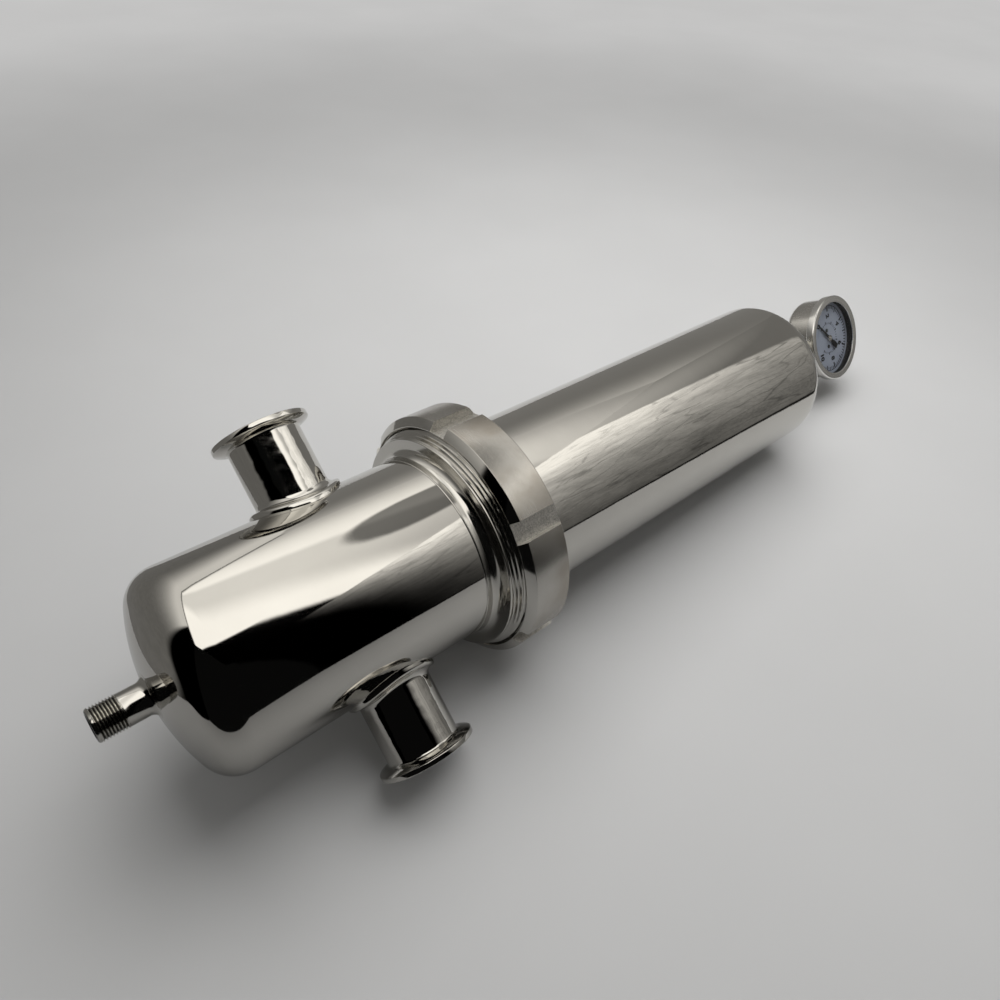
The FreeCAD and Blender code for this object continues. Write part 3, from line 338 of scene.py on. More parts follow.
class Paint:
    """A material under construction."""

    def __init__(self, name):
        self.material = bpy.data.materials.new(name)
        self.material.use_nodes = True
        self.tree = self.material.node_tree
        self.tree.nodes.clear()
        self.output = self.tree.nodes.new("ShaderNodeOutputMaterial")

    def node(self, kind, settings=None, sockets=None, output=0):
        """Adds a node: its settings first, then the values or links of its sockets."""
        made = self.tree.nodes.new(kind)
        for key, setting in (settings or {}).items():
            setattr(made, key, setting)
        for key, value in (sockets or {}).items():
            if isinstance(value, Value):
                self.tree.links.new(value.socket, made.inputs[key])
            else:
                made.inputs[key].default_value = value
        return Value(self, made.outputs[output])

    def place(self):
        """The place on a piece in metres, in its own frame."""
        return self.node("ShaderNodeTexCoord", output=3)

    def split(self, vector):
        parts = self.node("ShaderNodeSeparateXYZ", sockets={0: vector})
        return [Value(self, parts.socket.node.outputs[i]) for i in range(3)]

    def join(self, x, y, z):
        return self.node("ShaderNodeCombineXYZ", sockets={0: x, 1: y, 2: z})

    def noise(self, vector, scale, detail, roughness):
        sockets = {"Vector": vector, "Scale": scale, "Detail": detail, "Roughness": roughness}
        return self.node("ShaderNodeTexNoise", {"noise_dimensions": "3D"}, sockets)

    def mix(self, factor, first, second):
        """A colour between two colours."""
        sockets = {0: factor, 6: first, 7: second}
        return self.node("ShaderNodeMix", {"data_type": "RGBA"}, sockets, 2)

    def bump(self, height, strength, distance, normal=None):
        sockets = {"Height": height, "Strength": strength, "Distance": distance}
        if normal:
            sockets["Normal"] = normal
        return self.node("ShaderNodeBump", sockets=sockets)

    def surface(self, **sockets):
        """Ends the material with a Principled shader, its sockets named with _ for a space."""
        named = {key.replace("_", " "): value for key, value in sockets.items()}
        return self.finish(self.node("ShaderNodeBsdfPrincipled", sockets=named))

    def finish(self, shader):
        self.tree.links.new(shader.socket, self.output.inputs["Surface"])
        return self.material


def grey(level, warmth=0.0):
    """A linear grey from a display level of 0 to 255, warmer in red and weaker in blue."""
    share = level / 255
    linear = share / 12.92 if share <= 0.04045 else ((share + 0.055) / 1.055) ** 2.4
    return (linear * (1 + warmth), linear, linear * (1 - warmth * 1.6), 1.0)


# Finishes

STEEL = (0.60, 0.585, 0.548, 1.0)
STEEL_DULL = (0.52, 0.505, 0.47, 1.0)
STEEL_GROUND = (0.50, 0.485, 0.45, 1.0)
STEEL_STAINED = (0.29, 0.25, 0.20, 1.0)
# Painted shade for the roots of a thread
THREAD_ROOT_SHADE = (0.06, 0.056, 0.05, 1.0)
LEAST_ROUGHNESS = 0.015


def mirror_steel(name, ripple=0.00004, dull=0.045, waves=55.0):
    """Mirror-polished stainless steel with a faint ripple, haze and a few wiping marks."""
    paint = Paint(name)
    place = paint.place()
    haze = paint.noise(place, 26.0, 4.0, 0.6)
    fine = paint.noise(place, 900.0, 3.0, 0.65)
    roll = paint.noise(place, waves, 2.0, 0.4)
    roughness = dull + (haze - 0.5) * 0.05 + (fine - 0.5) * 0.03
    colour = paint.mix(haze, STEEL_DULL, STEEL)
    soft = paint.bump(roll, 1.0, ripple)
    normal = paint.bump(fine, 1.0, 0.000002, soft)
    return paint.surface(Base_Color=colour, Metallic=1.0, Roughness=roughness.maximum(LEAST_ROUGHNESS),
                         Normal=normal)


def turned_steel(name, roughness, depth, root=None, browned=0.0):
    """Steel with fine turning lines round the filter's axis and uneven handling marks.

    Below a root's radius its colour is painted dark, as shade in the roots of a thread. Browned, it has
    patches of grinding stain.
    """
    paint = Paint(name)
    place = paint.place()
    x, y, z = paint.split(place)
    radius = (x * x + y * y) ** 0.5
    lines = paint.join(x * 18.0, y * 18.0, z * 5200.0 + radius * 3900.0)
    groove = paint.noise(lines, 1.0, 3.0, 0.7)
    stain = paint.noise(place, 38.0, 4.0, 0.6)
    worn = roughness + (groove - 0.5) * 0.16 + (stain - 0.5) * 0.18
    if browned:
        patch = paint.noise(place, 40.0, 3.0, 0.45).step(0.52, 0.34) * browned
        colour = paint.mix(patch, STEEL_GROUND, STEEL_STAINED)
    else:
        colour = paint.mix(stain, STEEL_DULL, STEEL)
    if root:
        # Painted shade: the colour turns dark below the thread's root radius
        colour = paint.mix(radius.step(root, 0.0006), THREAD_ROOT_SHADE, colour)
    normal = paint.bump(groove, 1.0, depth)
    return paint.surface(Base_Color=colour, Metallic=1.0, Roughness=worn.maximum(0.06), Normal=normal)


def milled_steel(name):
    """Slot floors of the nut: cross-cut tool marks, rougher than the rest."""
    paint = Paint(name)
    place = paint.place()
    z = paint.split(place)[2]
    swirl = paint.noise(place, 240.0, 3.0, 0.6)
    marks = (z * 9000.0 + swirl * 14.0).sine()
    roughness = 0.36 + marks * 0.08 + (swirl - 0.5) * 0.3
    grit = paint.noise(place, 1100.0, 3.0, 0.6)
    colour = paint.mix(grit.step(0.5, 0.4), (0.46, 0.45, 0.42, 1.0), (0.72, 0.70, 0.66, 1.0))
    normal = paint.bump(marks, 0.8, 0.00005)
    return paint.surface(Base_Color=colour, Metallic=1.0, Roughness=roughness, Normal=normal)


def brushed_steel(name, along, roughness, dull=STEEL_DULL, bright=STEEL):
    """Sheet steel brushed along Y or Z."""
    paint = Paint(name)
    place = paint.place()
    x, y, z = paint.split(place)
    fast = 2600.0
    slow = 40.0
    stretch = {"Y": (fast, slow, fast), "Z": (fast, fast, slow)}[along]
    lines = paint.noise(paint.join(x * stretch[0], y * stretch[1], z * stretch[2]), 1.0, 3.0, 0.6)
    stain = paint.noise(place, 60.0, 3.0, 0.5)
    worn = roughness + (lines - 0.5) * 0.2 + (stain - 0.5) * 0.12
    normal = paint.bump(lines, 1.0, 0.000008)
    return paint.surface(Base_Color=paint.mix(stain, dull, bright), Metallic=1.0,
                         Roughness=worn.maximum(0.05), Normal=normal)


def woven_mesh(name):
    """Sintered wire mesh of the filter media."""
    paint = Paint(name)
    place = paint.place()
    x, y, z = paint.split(place)
    warp = (y.maths("ARCTAN2", y, x) * 900.0).sine()
    weft = (z * 14000.0).sine()
    weave = warp * weft
    colour = paint.mix(weave * 0.5 + 0.5, (0.16, 0.155, 0.145, 1.0), (0.42, 0.41, 0.38, 1.0))
    normal = paint.bump(weave, 0.7, 0.00005)
    return paint.surface(Base_Color=colour, Metallic=1.0, Roughness=0.42 + weave * 0.08, Normal=normal)


def rubber(name, level):
    """Moulded black rubber."""
    paint = Paint(name)
    grain = paint.noise(paint.place(), 1400.0, 3.0, 0.6)
    colour = paint.mix(grain, grey(level), grey(level + 14))
    normal = paint.bump(grain, 0.3, 0.00003)
    return paint.surface(Base_Color=colour, Roughness=0.62 + (grain - 0.5) * 0.2, Normal=normal,
                         Specular_IOR_Level=0.25)


def plastic(name, level):
    """Plain white sealing plastic."""
    paint = Paint(name)
    grain = paint.noise(paint.place(), 700.0, 3.0, 0.6)
    colour = paint.mix(grain, grey(level - 12, 0.02), grey(level, 0.02))
    return paint.surface(Base_Color=colour, Roughness=0.42 + grain * 0.1)


def brass(name, dull=(0.50, 0.36, 0.14, 1.0), bright=(0.72, 0.53, 0.24, 1.0)):
    """Turned and stamped brass, slightly dulled, or nickelled or blackened by its two colours."""
    paint = Paint(name)
    place = paint.place()
    stain = paint.noise(place, 300.0, 3.0, 0.6)
    grain = paint.noise(place, 4200.0, 2.0, 0.6)
    colour = paint.mix(stain, dull, bright)
    normal = paint.bump(grain, 0.4, 0.00001)
    return paint.surface(Base_Color=colour, Metallic=1.0, Roughness=0.24 + stain * 0.16, Normal=normal)


def dial_enamel(name):
    """Slate blue-grey paint of the dial, slightly mottled."""
    paint = Paint(name)
    cloud = paint.noise(paint.place(), 60.0, 3.0, 0.5)
    grain = paint.noise(paint.place(), 3000.0, 2.0, 0.5)
    colour = paint.mix(cloud, (0.185, 0.21, 0.265, 1.0), (0.34, 0.37, 0.43, 1.0))
    return paint.surface(Base_Color=colour, Roughness=0.38 + grain * 0.1)


def black_print(name):
    """Black printing and the pointer's paint."""
    paint = Paint(name)
    grain = paint.noise(paint.place(), 2500.0, 2.0, 0.5)
    colour = paint.mix(grain, grey(4), grey(12))
    return paint.surface(Base_Color=colour, Roughness=0.5 + grain * 0.15, Specular_IOR_Level=0.25)


def clear_glass(name):
    """Flat instrument glass: it mirrors more at a slant and lets the rest through."""
    paint = Paint(name)
    slant = paint.node("ShaderNodeLayerWeight", sockets={"Blend": 0.5}, output=1)
    smear = paint.noise(paint.place(), 120.0, 3.0, 0.6)
    return paint.surface(Base_Color=(0.95, 0.97, 1.0, 1.0), Metallic=1.0, Roughness=0.02 + smear * 0.04,
                         Alpha=0.004 + slant ** 5 * 0.7 + smear * 0.006)


mirror = mirror_steel("mirror_steel")
bowl_mirror = mirror_steel("bowl_mirror_steel", ripple=0.00005, dull=0.042)
nozzle_mirror = mirror_steel("nozzle_mirror_steel", ripple=0.00042, dull=0.05, waves=75.0)
cone_mirror = mirror_steel("cone_mirror_steel", ripple=0.00003, dull=0.07)
nut_band = turned_steel("nut_band_steel", roughness=0.24, depth=0.000016, browned=0.62)
turned_bright = turned_steel("turned_bright_steel", roughness=0.13, depth=0.000007)
# Its colour has painted shade below the thread's root radius
thread_steel = turned_steel("thread_steel", roughness=0.11, depth=0.000004, root=0.0074)
milled = milled_steel("milled_steel")
case_steel = brushed_steel("case_steel", "Y", 0.24)
bezel_steel = brushed_steel("bezel_steel", "Y", 0.17, (0.66, 0.65, 0.62, 1.0), (0.84, 0.83, 0.80, 1.0))
sheet_steel = brushed_steel("sheet_steel", "Z", 0.3)
mesh_steel = woven_mesh("mesh_steel")
black_rubber = rubber("black_rubber", level=10)
white_plastic = plastic("white_plastic", level=225)
movement_brass = brass("movement_brass")
dark_brass = brass("blackened_brass", (0.02, 0.019, 0.017, 1.0), (0.05, 0.047, 0.04, 1.0))
pale_brass = brass("nickelled_brass", (0.46, 0.44, 0.40, 1.0), (0.62, 0.60, 0.55, 1.0))
dial_paint = dial_enamel("dial_paint")
print_black = black_print("print_black")
window_glass = clear_glass("window_glass")


# Base


def head_joint():
    """The dished head's depth to its knuckle centre, and the angle where crown and knuckle meet."""
    reach = crown_radius - knuckle_radius
    offset = shell_r - knuckle_radius
    return crown_radius - math.sqrt(reach ** 2 - offset ** 2), math.degrees(math.asin(offset / reach))


def crown_drop(across, thickness=0.0):
    """How far a head's crown has fallen back at a radius, from its outer tip."""
    radius = crown_radius - thickness
    return crown_radius - math.sqrt(radius ** 2 - across ** 2)


def vessel_outline(tip, rim, hole_r, side, wall_rows):
    """Tube with a dished head and a hole at its tip; side is 1 for a head that faces down."""
    depth, joint = head_joint()
    crown = (0.0, tip + side * crown_radius)
    knuckle = (shell_r - knuckle_radius, tip + side * depth)
    down = -90.0 * side

    def skin(thickness):
        radius = crown_radius - thickness
        start = math.degrees(math.asin(hole_r / radius)) * side
        head = arc(crown, radius, down + start, down + joint * side, 24)
        bend = arc(knuckle, knuckle_radius - thickness, down + joint * side, 0.0, 16)
        return head + bend[1:]

    outer = skin(0.0) + rows((shell_r, knuckle[1]), (shell_r, rim), wall_rows)
    inner = [(bore_r, rim)] + rows((bore_r, rim), (bore_r, knuckle[1]), wall_rows)[:-1]
    return outer + inner + list(reversed(skin(shell_wall)))


def make_base_shell():
    """The shell with one hole right through it for the two nozzles."""
    bm = spun(vessel_outline(base_tip, base_rim, drain_neck_r, side=1, wall_rows=28))
    half_length = 90
    through = [(0, -half_length), (nozzle_r, -half_length), (nozzle_r, half_length), (0, half_length)]
    cross = spun(through, "X", SMALL_STEPS, closed=False)
    shift(cross, 0, 0, nozzle_z)
    bm = cut(bm, cross)
    set_index(bm)
    piece_from(bm, "base_shell_skin", "base", mirror, ["base_shell"])


def ferrule_outline():
    """Clamp ferrule: tube, sloped back, rounded rim and gasket groove."""
    bore = nozzle_r - nozzle_wall
    rim = 2.85
    back = nozzle_reach - rim
    slope = math.tan(math.radians(20))
    fillet = 1.5
    edge = 0.5
    bore_edge = 0.3
    groove_r = 21.75
    groove = 1.6
    inside_shell = 6.0
    start = shell_r - inside_shell
    root = back - (flange_r - nozzle_r - fillet) * slope - fillet
    outline = [(bore, start), (nozzle_r, start)]
    outline += arc((nozzle_r + fillet, root), fillet, 180, 90, 6)
    outline += [(flange_r - edge, back - edge * slope)]
    outline += arc((flange_r - edge, back + edge), edge, -70, 0, 4)
    outline += arc((flange_r - edge, nozzle_reach - edge), edge, 0, 90, 4)
    outline += arc((groove_r, nozzle_reach), groove, 0, -180, 12)
    outline += arc((bore + bore_edge, nozzle_reach - bore_edge), bore_edge, 90, 180, 3)
    return outline


def make_ferrules():
    """Each ferrule's tube ends at the round inside of the shell."""
    top = 2 * nozzle_z
    inside = [(0, 0), (bore_r, 0), (bore_r, top), (0, top)]
    for name, body_turn in (("outlet_ferrule", 0.0), ("inlet_ferrule", math.pi)):
        bm = spun(ferrule_outline(), "X", RING_STEPS)
        shift(bm, 0, 0, nozzle_z)
        bm = cut(bm, spun(inside, closed=False))
        set_index(bm)
        turn_about(bm, body_turn)
        piece_from(bm, name + "_polished", "base", nozzle_mirror, [name])


def make_nozzle_collars():
    """Saddle collars: an outline spun about the nozzle, then dropped on to the round shell."""
    radius = 24.0
    thickness = 2.6
    fillet = 2.6
    edge = 1.3
    top = thickness + fillet
    outline = [(nozzle_r, 0.0), (nozzle_r, top)]
    outline += arc((nozzle_r + fillet, top), fillet, 180, 270, 8)[1:]
    outline += arc((radius - edge, thickness - edge), edge, 90, 0, 6)
    outline += [(radius, 0.0)]
    for name, body_turn in (("outlet_collar", 0.0), ("inlet_collar", math.pi)):
        bm = spun(outline, "X", RING_STEPS)
        for vert in bm.verts:
            vert.co.x += math.sqrt(shell_r ** 2 - vert.co.y ** 2)
        shift(bm, 0, 0, nozzle_z)
        turn_about(bm, body_turn)
        piece_from(bm, name + "_weld", "base", mirror, [name])


def make_drain_nipple():
    """Drain nipple: chamfered end, thread, neck and the fillet of its weld on the head."""
    crest = 8.1
    depth = 0.92
    pitch = 1.337
    lead = 0.9
    bore = 5.5
    bore_chamfer = 0.5
    neck = drain_neck_r
    thread_low = 1.2
    thread_top = 12.8
    weld = 3.4
    weld_r = neck + weld
    low = base_tip + crown_drop(neck) - weld + 0.2
    outline = [(bore + bore_chamfer, 0), (crest - 1.1, 0), (crest - 0.4, 0.45), (crest, thread_low)]
    outline += rows((crest, thread_low), (crest, thread_top), 156)
    outline += [(neck, thread_top + 0.4)]
    outline += arc((weld_r, low), weld, 180, 94, 10)
    outline += [(weld_r, base_tip + crown_drop(weld_r)), (neck, base_tip + crown_drop(neck))]
    outline += [(radius, base_tip + crown_drop(radius, shell_wall)) for radius in (neck, bore)]
    outline += [(bore, bore_chamfer)]
    bm = spun(outline, "Z", SMALL_STEPS)
    cut_thread(bm, lambda z: crest, depth, pitch, lead, thread_top + 0.2, lead)
    piece_from(bm, "drain_nipple_thread", "base", thread_steel, ["drain_nipple"], 30)


def make_threaded_collar():
    """Ring welded on the base: shoulder, thread with a conical lead and the recess for the gasket."""
    weld = 1.0
    fillet = 4.4
    shoulder_z = base_rim + 3.1 + fillet
    shoulder_r = 60.0
    lead_base = shoulder_z + 0.9
    lead_length = 5.0
    turns = 11
    depth = 1.05
    top_edge = 1.0
    recess_edge = 0.3
    recess_r = bore_r + 6.5
    recess_z = collar_top - 4.0
    outline = [(bore_r, base_rim)]
    outline += arc((shell_r - 0.2, base_rim + weld / 2), weld / 2, -90, 90, 6)
    outline += [(shell_r, base_rim + weld)]
    outline += arc((shell_r + fillet, shoulder_z - fillet), fillet, 180, 90, 10)
    outline += rounded((shoulder_r - 4, shoulder_z), (shoulder_r, shoulder_z, 0.5),
                       (shoulder_r, lead_base))[1:]
    lead_top = lead_base + lead_length
    outline += rows((shoulder_r, lead_base), (thread_r, lead_top), 36)
    outline += rows((thread_r, lead_top), (thread_r, collar_top - top_edge), turns * 12)
    outline += [(thread_r - top_edge, collar_top), (recess_r + recess_edge, collar_top),
                (recess_r, collar_top - recess_edge), (recess_r, recess_z), (bore_r, recess_z)]
    bm = spun(outline)

    def crest(z):
        return min(thread_r, shoulder_r + (z - lead_base) * (thread_r - shoulder_r) / lead_length)

    cut_thread(bm, crest, depth, thread_pitch, lead_base, collar_top - 0.9, 0.4, thread_start)
    piece_from(bm, "threaded_collar_turned", "base", turned_bright, ["threaded_collar"])


# Bowl


def make_bowl_shell():
    bm = spun(vessel_outline(bowl_tip, bowl_rim, boss_r, side=-1, wall_rows=40))
    piece_from(bm, "bowl_shell_skin", "bowl", bowl_mirror, ["bowl_shell"])


def make_bowl_liner():
    """Flange that the nut holds down: a rim, a cone and the weld under the bowl."""
    cone_height = 4.4
    cone_base = liner_face + 4.4
    cone_top = cone_base + cone_height
    outline = rounded((bore_r, liner_face), (liner_r, liner_face, 0.5), (liner_r, cone_base, 0.4),
                      (shell_r + 1.0, cone_top, 0.3), (shell_r, cone_top + 0.5), (shell_r, bowl_rim),
                      (bore_r, bowl_rim))
    piece_from(spun(outline), "bowl_liner_turned", "bowl", turned_bright, ["bowl_liner"])


def make_gauge_boss():
    """Boss welded in the head's hole, with a threaded socket for the gauge."""
    weld = 3.0
    weld_r = boss_r + weld
    edge = 0.8
    bore = 4.0
    thread_bore = 6.55
    thread_chamfer = 0.4
    thread_foot = boss_top - 15.0
    foot = bowl_tip - crown_drop(boss_r)
    outline = [(radius, bowl_tip - crown_drop(radius, shell_wall)) for radius in (bore, boss_r)]
    outline += [(boss_r, foot), (weld_r, bowl_tip - crown_drop(weld_r))]
    outline += arc((weld_r, foot + weld), weld, 268, 180, 9)
    outline += arc((boss_r - edge, boss_top - edge), edge, 0, 90, 5)
    outline += [(thread_bore + thread_chamfer, boss_top), (thread_bore, boss_top - thread_chamfer),
                (thread_bore, thread_foot), (bore, thread_foot)]
    piece_from(spun(outline, "Z", RING_STEPS), "gauge_boss_turned", "bowl", turned_bright, ["gauge_boss"])


# Union nut


def make_union_nut():
    """Slotted ring nut: wide polished cones, a satin band and six milled slots."""
    thread_bore = thread_r + 0.35
    bore_chamfer = 1.4
    neck_bore = shell_r + 0.55
    flange_bore = liner_r + 0.35
    band_low = nut_low + 3.2
    band_high = nut_high - 3.1
    rim = 64.6
    top_rim = 64.0
    relief = liner_face + 3.35
    cone_foot = liner_face + 4.9
    cone_top = liner_face + 9.4
    band_edge = 0.8
    thread_depth = -0.85
    slots = 6
    slot_width = 11.0
    slot_floor = 64.2
    slot_start = math.radians(41.7)
    outline = rounded((thread_bore, nut_low + bore_chamfer), (thread_bore + bore_chamfer, nut_low),
                      (rim, nut_low, 0.15), (nut_r, band_low, 0.35), (nut_r, band_high - band_edge, 0.3),
                      (nut_r - band_edge, band_high, 0.3), (top_rim, nut_high, 0.4),
                      (neck_bore, nut_high, 0.4), (neck_bore, cone_top), (flange_bore, cone_foot),
                      (flange_bore, relief), (thread_bore, relief))
    outline += rows((thread_bore, relief), (thread_bore, nut_low + bore_chamfer), 108)[:-1]
    bm = spun(outline)
    length = 20
    height = nut_high - nut_low + 10
    centre = (slot_floor + length / 2, 0, (nut_high + nut_low) / 2)
    turns = [slot_start + index * 2 * math.pi / slots for index in range(slots)]
    bm = cut(bm, joined([boxed(length, slot_width, height, centre, turn) for turn in turns]))
    for face in bm.faces:
        height_of_face = face.calc_center_median().z
        if face.material_index == 0 and not band_low < height_of_face < band_high:
            face.material_index = 2
    cut_thread(bm, lambda z: thread_bore, thread_depth, thread_pitch, nut_low + bore_chamfer, relief - 0.2,
               1.0, thread_start + thread_pitch / 2)
    piece_from(bm, "union_nut_body", "nut", [nut_band, milled, cone_mirror], ["union_nut"],
               30)


# Gauge: modelled at the origin with its face to -Y, then turned and lifted


case_r = 31.0
case_wall = 0.9
case_front = -8.0
case_back = 16.0
case_corner = 6.0
lip_r = 32.2
bezel_r = 33.3
bezel_front = -12.0
bezel_back = -5.9
opening_r = 28.1
window_front = -11.0
window_back = -9.0
dial_front = -5.8
dial_r = 30.05
print_height = 0.06
scale_sweep = 270


def gauge_piece(bm, name, finish, stands_for, body="bowl"):
    turn_about(bm, gauge_turn)
    shift(bm, 0, 0, gauge_z)
    piece_from(bm, name, body, finish, stands_for)


def make_gauge_case():
    """Drawn cup with a flat back and a lip at its mouth."""
    inner = case_r - case_wall
    lip_back = case_front + 1.0
    corner = (case_r - case_corner, case_back - case_corner)
    outline = [(inner, case_front), (lip_r, case_front), (lip_r, lip_back), (case_r, lip_back)]
    outline += arc(corner, case_corner, 0, 90, 12)
    outline += [(0.0, case_back), (0.0, case_back - case_wall)]
    outline += arc(corner, case_corner - case_wall, 90, 0, 12)
    gauge_piece(spun(outline, "Y", CASE_STEPS), "gauge_case_drawn", case_steel, ["gauge_case"])


def make_gauge_bezel():
    """Rolled ring: rounded shoulder, flat face and a stepped inner lip."""
    inner = bezel_r - 1.0
    lip = bezel_front + 0.1
    lap_r = case_r + 0.1
    lap = bezel_back - 1.0
    outline = rounded((opening_r, window_front), (opening_r, bezel_front + 0.5, 0.2),
                      (opening_r + 0.8, lip, 0.2), (opening_r + 2.6, lip, 0.1),
                      (opening_r + 2.9, bezel_front, 0.1), (bezel_r, bezel_front, 1.2),
                      (bezel_r, bezel_back, 0.4), (lap_r, bezel_back), (lap_r, lap), (inner, lap),
                      (inner, window_front))
    bm = spun(outline, "Y", CASE_STEPS)
    gauge_piece(bm, "gauge_bezel_rolled", bezel_steel, ["gauge_bezel"])


def make_gauge_window():
    outline = [(0.0, window_front), (lip_r, window_front), (lip_r, window_back), (0.0, window_back)]
    bm = spun(outline, "Y", GLASS_STEPS, closed=False)
    gauge_piece(bm, "gauge_window_glass", window_glass, ["gauge_window"])


def make_window_gasket():
    """Ring between the window and the dial: a flat lip outwards and a foot that narrows inwards."""
    lip_outer = 32.0
    lip_inner = 29.4
    lip_back = window_back + 1.0
    foot_outer = 30.1
    foot_inner = 28.9
    throat = 28.6
    outline = [(lip_inner, window_back), (lip_outer, window_back), (lip_outer, lip_back),
               (foot_outer, lip_back), (foot_outer, dial_front), (foot_inner, dial_front),
               (throat, dial_front - 1.0)]
    bm = spun(outline, "Y", GLASS_STEPS)
    gauge_piece(bm, "window_gasket_ring", black_rubber, ["window_gasket"])


def dial_angle(share):
    """The angle from +X of a place on the scale: 225 degrees at zero, clockwise over 270."""
    return math.radians(225 - scale_sweep * share)


def tick(share, inner, outer, width):
    """A raised printed line on the dial, at a share of the scale."""
    centre = ((inner + outer) / 2, dial_front - print_height / 2, 0)
    return boxed(outer - inner, print_height, width, centre, -dial_angle(share), "Y")


def numeral(text, size, across, up):
    """A number standing in the dial's plane, as a mesh."""
    curve = bpy.data.curves.new("numeral", "FONT")
    curve.body = text
    curve.size = size
    curve.align_x = "CENTER"
    curve.align_y = "CENTER"
    curve.extrude = print_height / 2
    curve.offset = 0.36
    thing = bpy.data.objects.new("numeral", curve)
    bpy.context.scene.collection.objects.link(thing)
    bpy.context.view_layer.update()
    mesh = bpy.data.meshes.new_from_object(thing.evaluated_get(bpy.context.evaluated_depsgraph_get()))
    bm = bmesh.new()
    bm.from_mesh(mesh)
    bpy.data.objects.remove(thing)
    bpy.data.curves.remove(curve)
    bpy.data.meshes.remove(mesh)
    turn_about(bm, math.pi / 2, "X")
    shift(bm, across, dial_front - print_height / 2, up)
    return bm


def scale_arc(radius, width):
    """The printed line that joins a scale's ticks."""
    bm = bmesh.new()
    outer = radius + width
    corners = [(radius, -print_height), (outer, -print_height), (outer, 0), (radius, 0)]
    start = dial_angle(0.0)
    verts = [bm.verts.new((r * math.cos(start), dial_front + y, r * math.sin(start))) for r, y in corners]
    face = bm.faces.new(verts)
    bmesh.ops.spin(bm, geom=[face], cent=(0, 0, 0), axis=AXES["Y"], angle=math.radians(scale_sweep), steps=90,
                   dvec=(0, 0, 0))
    bmesh.ops.recalc_face_normals(bm, faces=bm.faces)
    return bm


def make_dial():
    """The plate and its print: an outer scale with numerals from 0 to 10 and a finer inner scale."""
    hole = 1.5
    back = dial_front + 0.6
    scale_r = 26.0
    inner_scale_r = 11.2
    numeral_r = 17.6
    numeral_size = 6.2
    outline = [(hole, dial_front), (dial_r, dial_front), (dial_r, back), (hole, back)]
    bm = spun(outline, "Y", RING_STEPS)
    gauge_piece(bm, "gauge_dial_plate", dial_paint, ["gauge_dial"])
    inner_r_and_width = {10: (21.2, 1.5), 5: (22.2, 1.1), 1: (23.4, 0.7)}
    marks = []
    for index in range(51):
        inner, width = next(size for every, size in inner_r_and_width.items() if index % every == 0)
        marks.append(tick(index / 50, inner, scale_r, width))
    for index in range(29):
        outer, width = (12.6, 0.5) if index % 4 else (13.6, 0.9)
        marks.append(tick(index / 28, inner_scale_r, outer, width))
    marks.append(scale_arc(scale_r, 0.5))
    for index in range(6):
        angle = dial_angle(index / 5)
        across = numeral_r * math.cos(angle)
        marks.append(numeral(str(index * 2), numeral_size, across, numeral_r * math.sin(angle)))
    gauge_piece(joined(marks), "dial_scale", print_black, ())


def make_pointer():
    """Balanced pointer at rest on zero: long tip, broad tail and a bright hub."""
    front = dial_front - 1.4
    thickness = 0.4
    hub_r = 2.4
    hub_front = front - 0.5
    hub_back = front + 1.0
    edge = [(24.0, 0.35), (8.0, 1.0), (0.0, 1.3), (-5.0, 1.1), (-6.0, 2.2), (-13.0, 2.2)]
    bm = bmesh.new()
    outline = edge + [(across, -up) for across, up in reversed(edge)]
    face = bm.faces.new([bm.verts.new((across, front, up)) for across, up in outline])
    grown = bmesh.ops.extrude_face_region(bm, geom=[face])
    moved = [item for item in grown["geom"] if isinstance(item, bmesh.types.BMVert)]
    bmesh.ops.translate(bm, vec=(0, thickness, 0), verts=moved)
    bmesh.ops.recalc_face_normals(bm, faces=bm.faces)
    bevel(bm, 0.08, 60)
    hub_outline = rounded((0.0, hub_front), (hub_r, hub_front, 0.25), (hub_r, hub_back), (0.0, hub_back))
    hub = spun(hub_outline, "Y", HUB_STEPS, closed=False)
    set_index(hub, 1)
    bm = joined([bm, hub])
    turn_about(bm, -dial_angle(0.0), "Y")
    gauge_piece(bm, "gauge_pointer_blade", [print_black, case_steel], ["gauge_pointer"],
                "pointer")


def make_gauge_washer():
    inner = 6.7
    outer = 8.75
    edge = 0.3
    top = boss_top + 2.0
    outline = rounded((inner, boss_top), (outer, boss_top, edge), (outer, top, edge), (inner, top))
    bm = spun(outline, "Z", SMALL_STEPS)
    piece_from(bm, "gauge_washer_seal", "bowl", white_plastic, ["gauge_washer"])


# Pieces whose shape is right as built: a merged, smooth copy with its finish

as_built = {
    "body_gasket": ("base", black_rubber, "gasket_rubber"),
    "outlet_elbow": ("base", turned_bright, "machined_steel"),
    "cartridge_seat": ("base", turned_bright, "machined_steel"),
    "cartridge_adaptor": ("cartridge", turned_bright, "cartridge_steel"),
    "lower_o_ring": ("cartridge", black_rubber, "gasket_rubber"),
    "upper_o_ring": ("cartridge", black_rubber, "gasket_rubber"),
    "lower_end_cap": ("cartridge", turned_bright, "cartridge_steel"),
    "cartridge_core": ("cartridge", sheet_steel, "cartridge_steel"),
    "filter_media": ("cartridge", mesh_steel, "filter_mesh"),
    "cartridge_cage": ("cartridge", sheet_steel, "cartridge_steel"),
    "upper_end_cap": ("cartridge", turned_bright, "cartridge_steel"),
    "gauge_socket": ("bowl", turned_bright, "gauge_steel"),
    "dial_screws": ("bowl", dark_brass, "movement_brass"),
    "movement_front_plate": ("bowl", movement_brass, "movement_brass"),
    "movement_back_plate": ("bowl", movement_brass, "movement_brass"),
    "movement_pillars": ("bowl", movement_brass, "movement_brass"),
    "bourdon_tube": ("bowl", movement_brass, "movement_brass"),
    "tube_tip": ("bowl", movement_brass, "movement_brass"),
    "hairspring": ("bowl", movement_brass, "movement_brass"),
    "vent_plug": ("bowl", black_rubber, "gasket_rubber"),
    "gauge_sector": ("sector", movement_brass, "movement_brass"),
    "pinion_arbor": ("pointer", pale_brass, "movement_brass"),
    "tip_link": ("link", movement_brass, "movement_brass"),
}


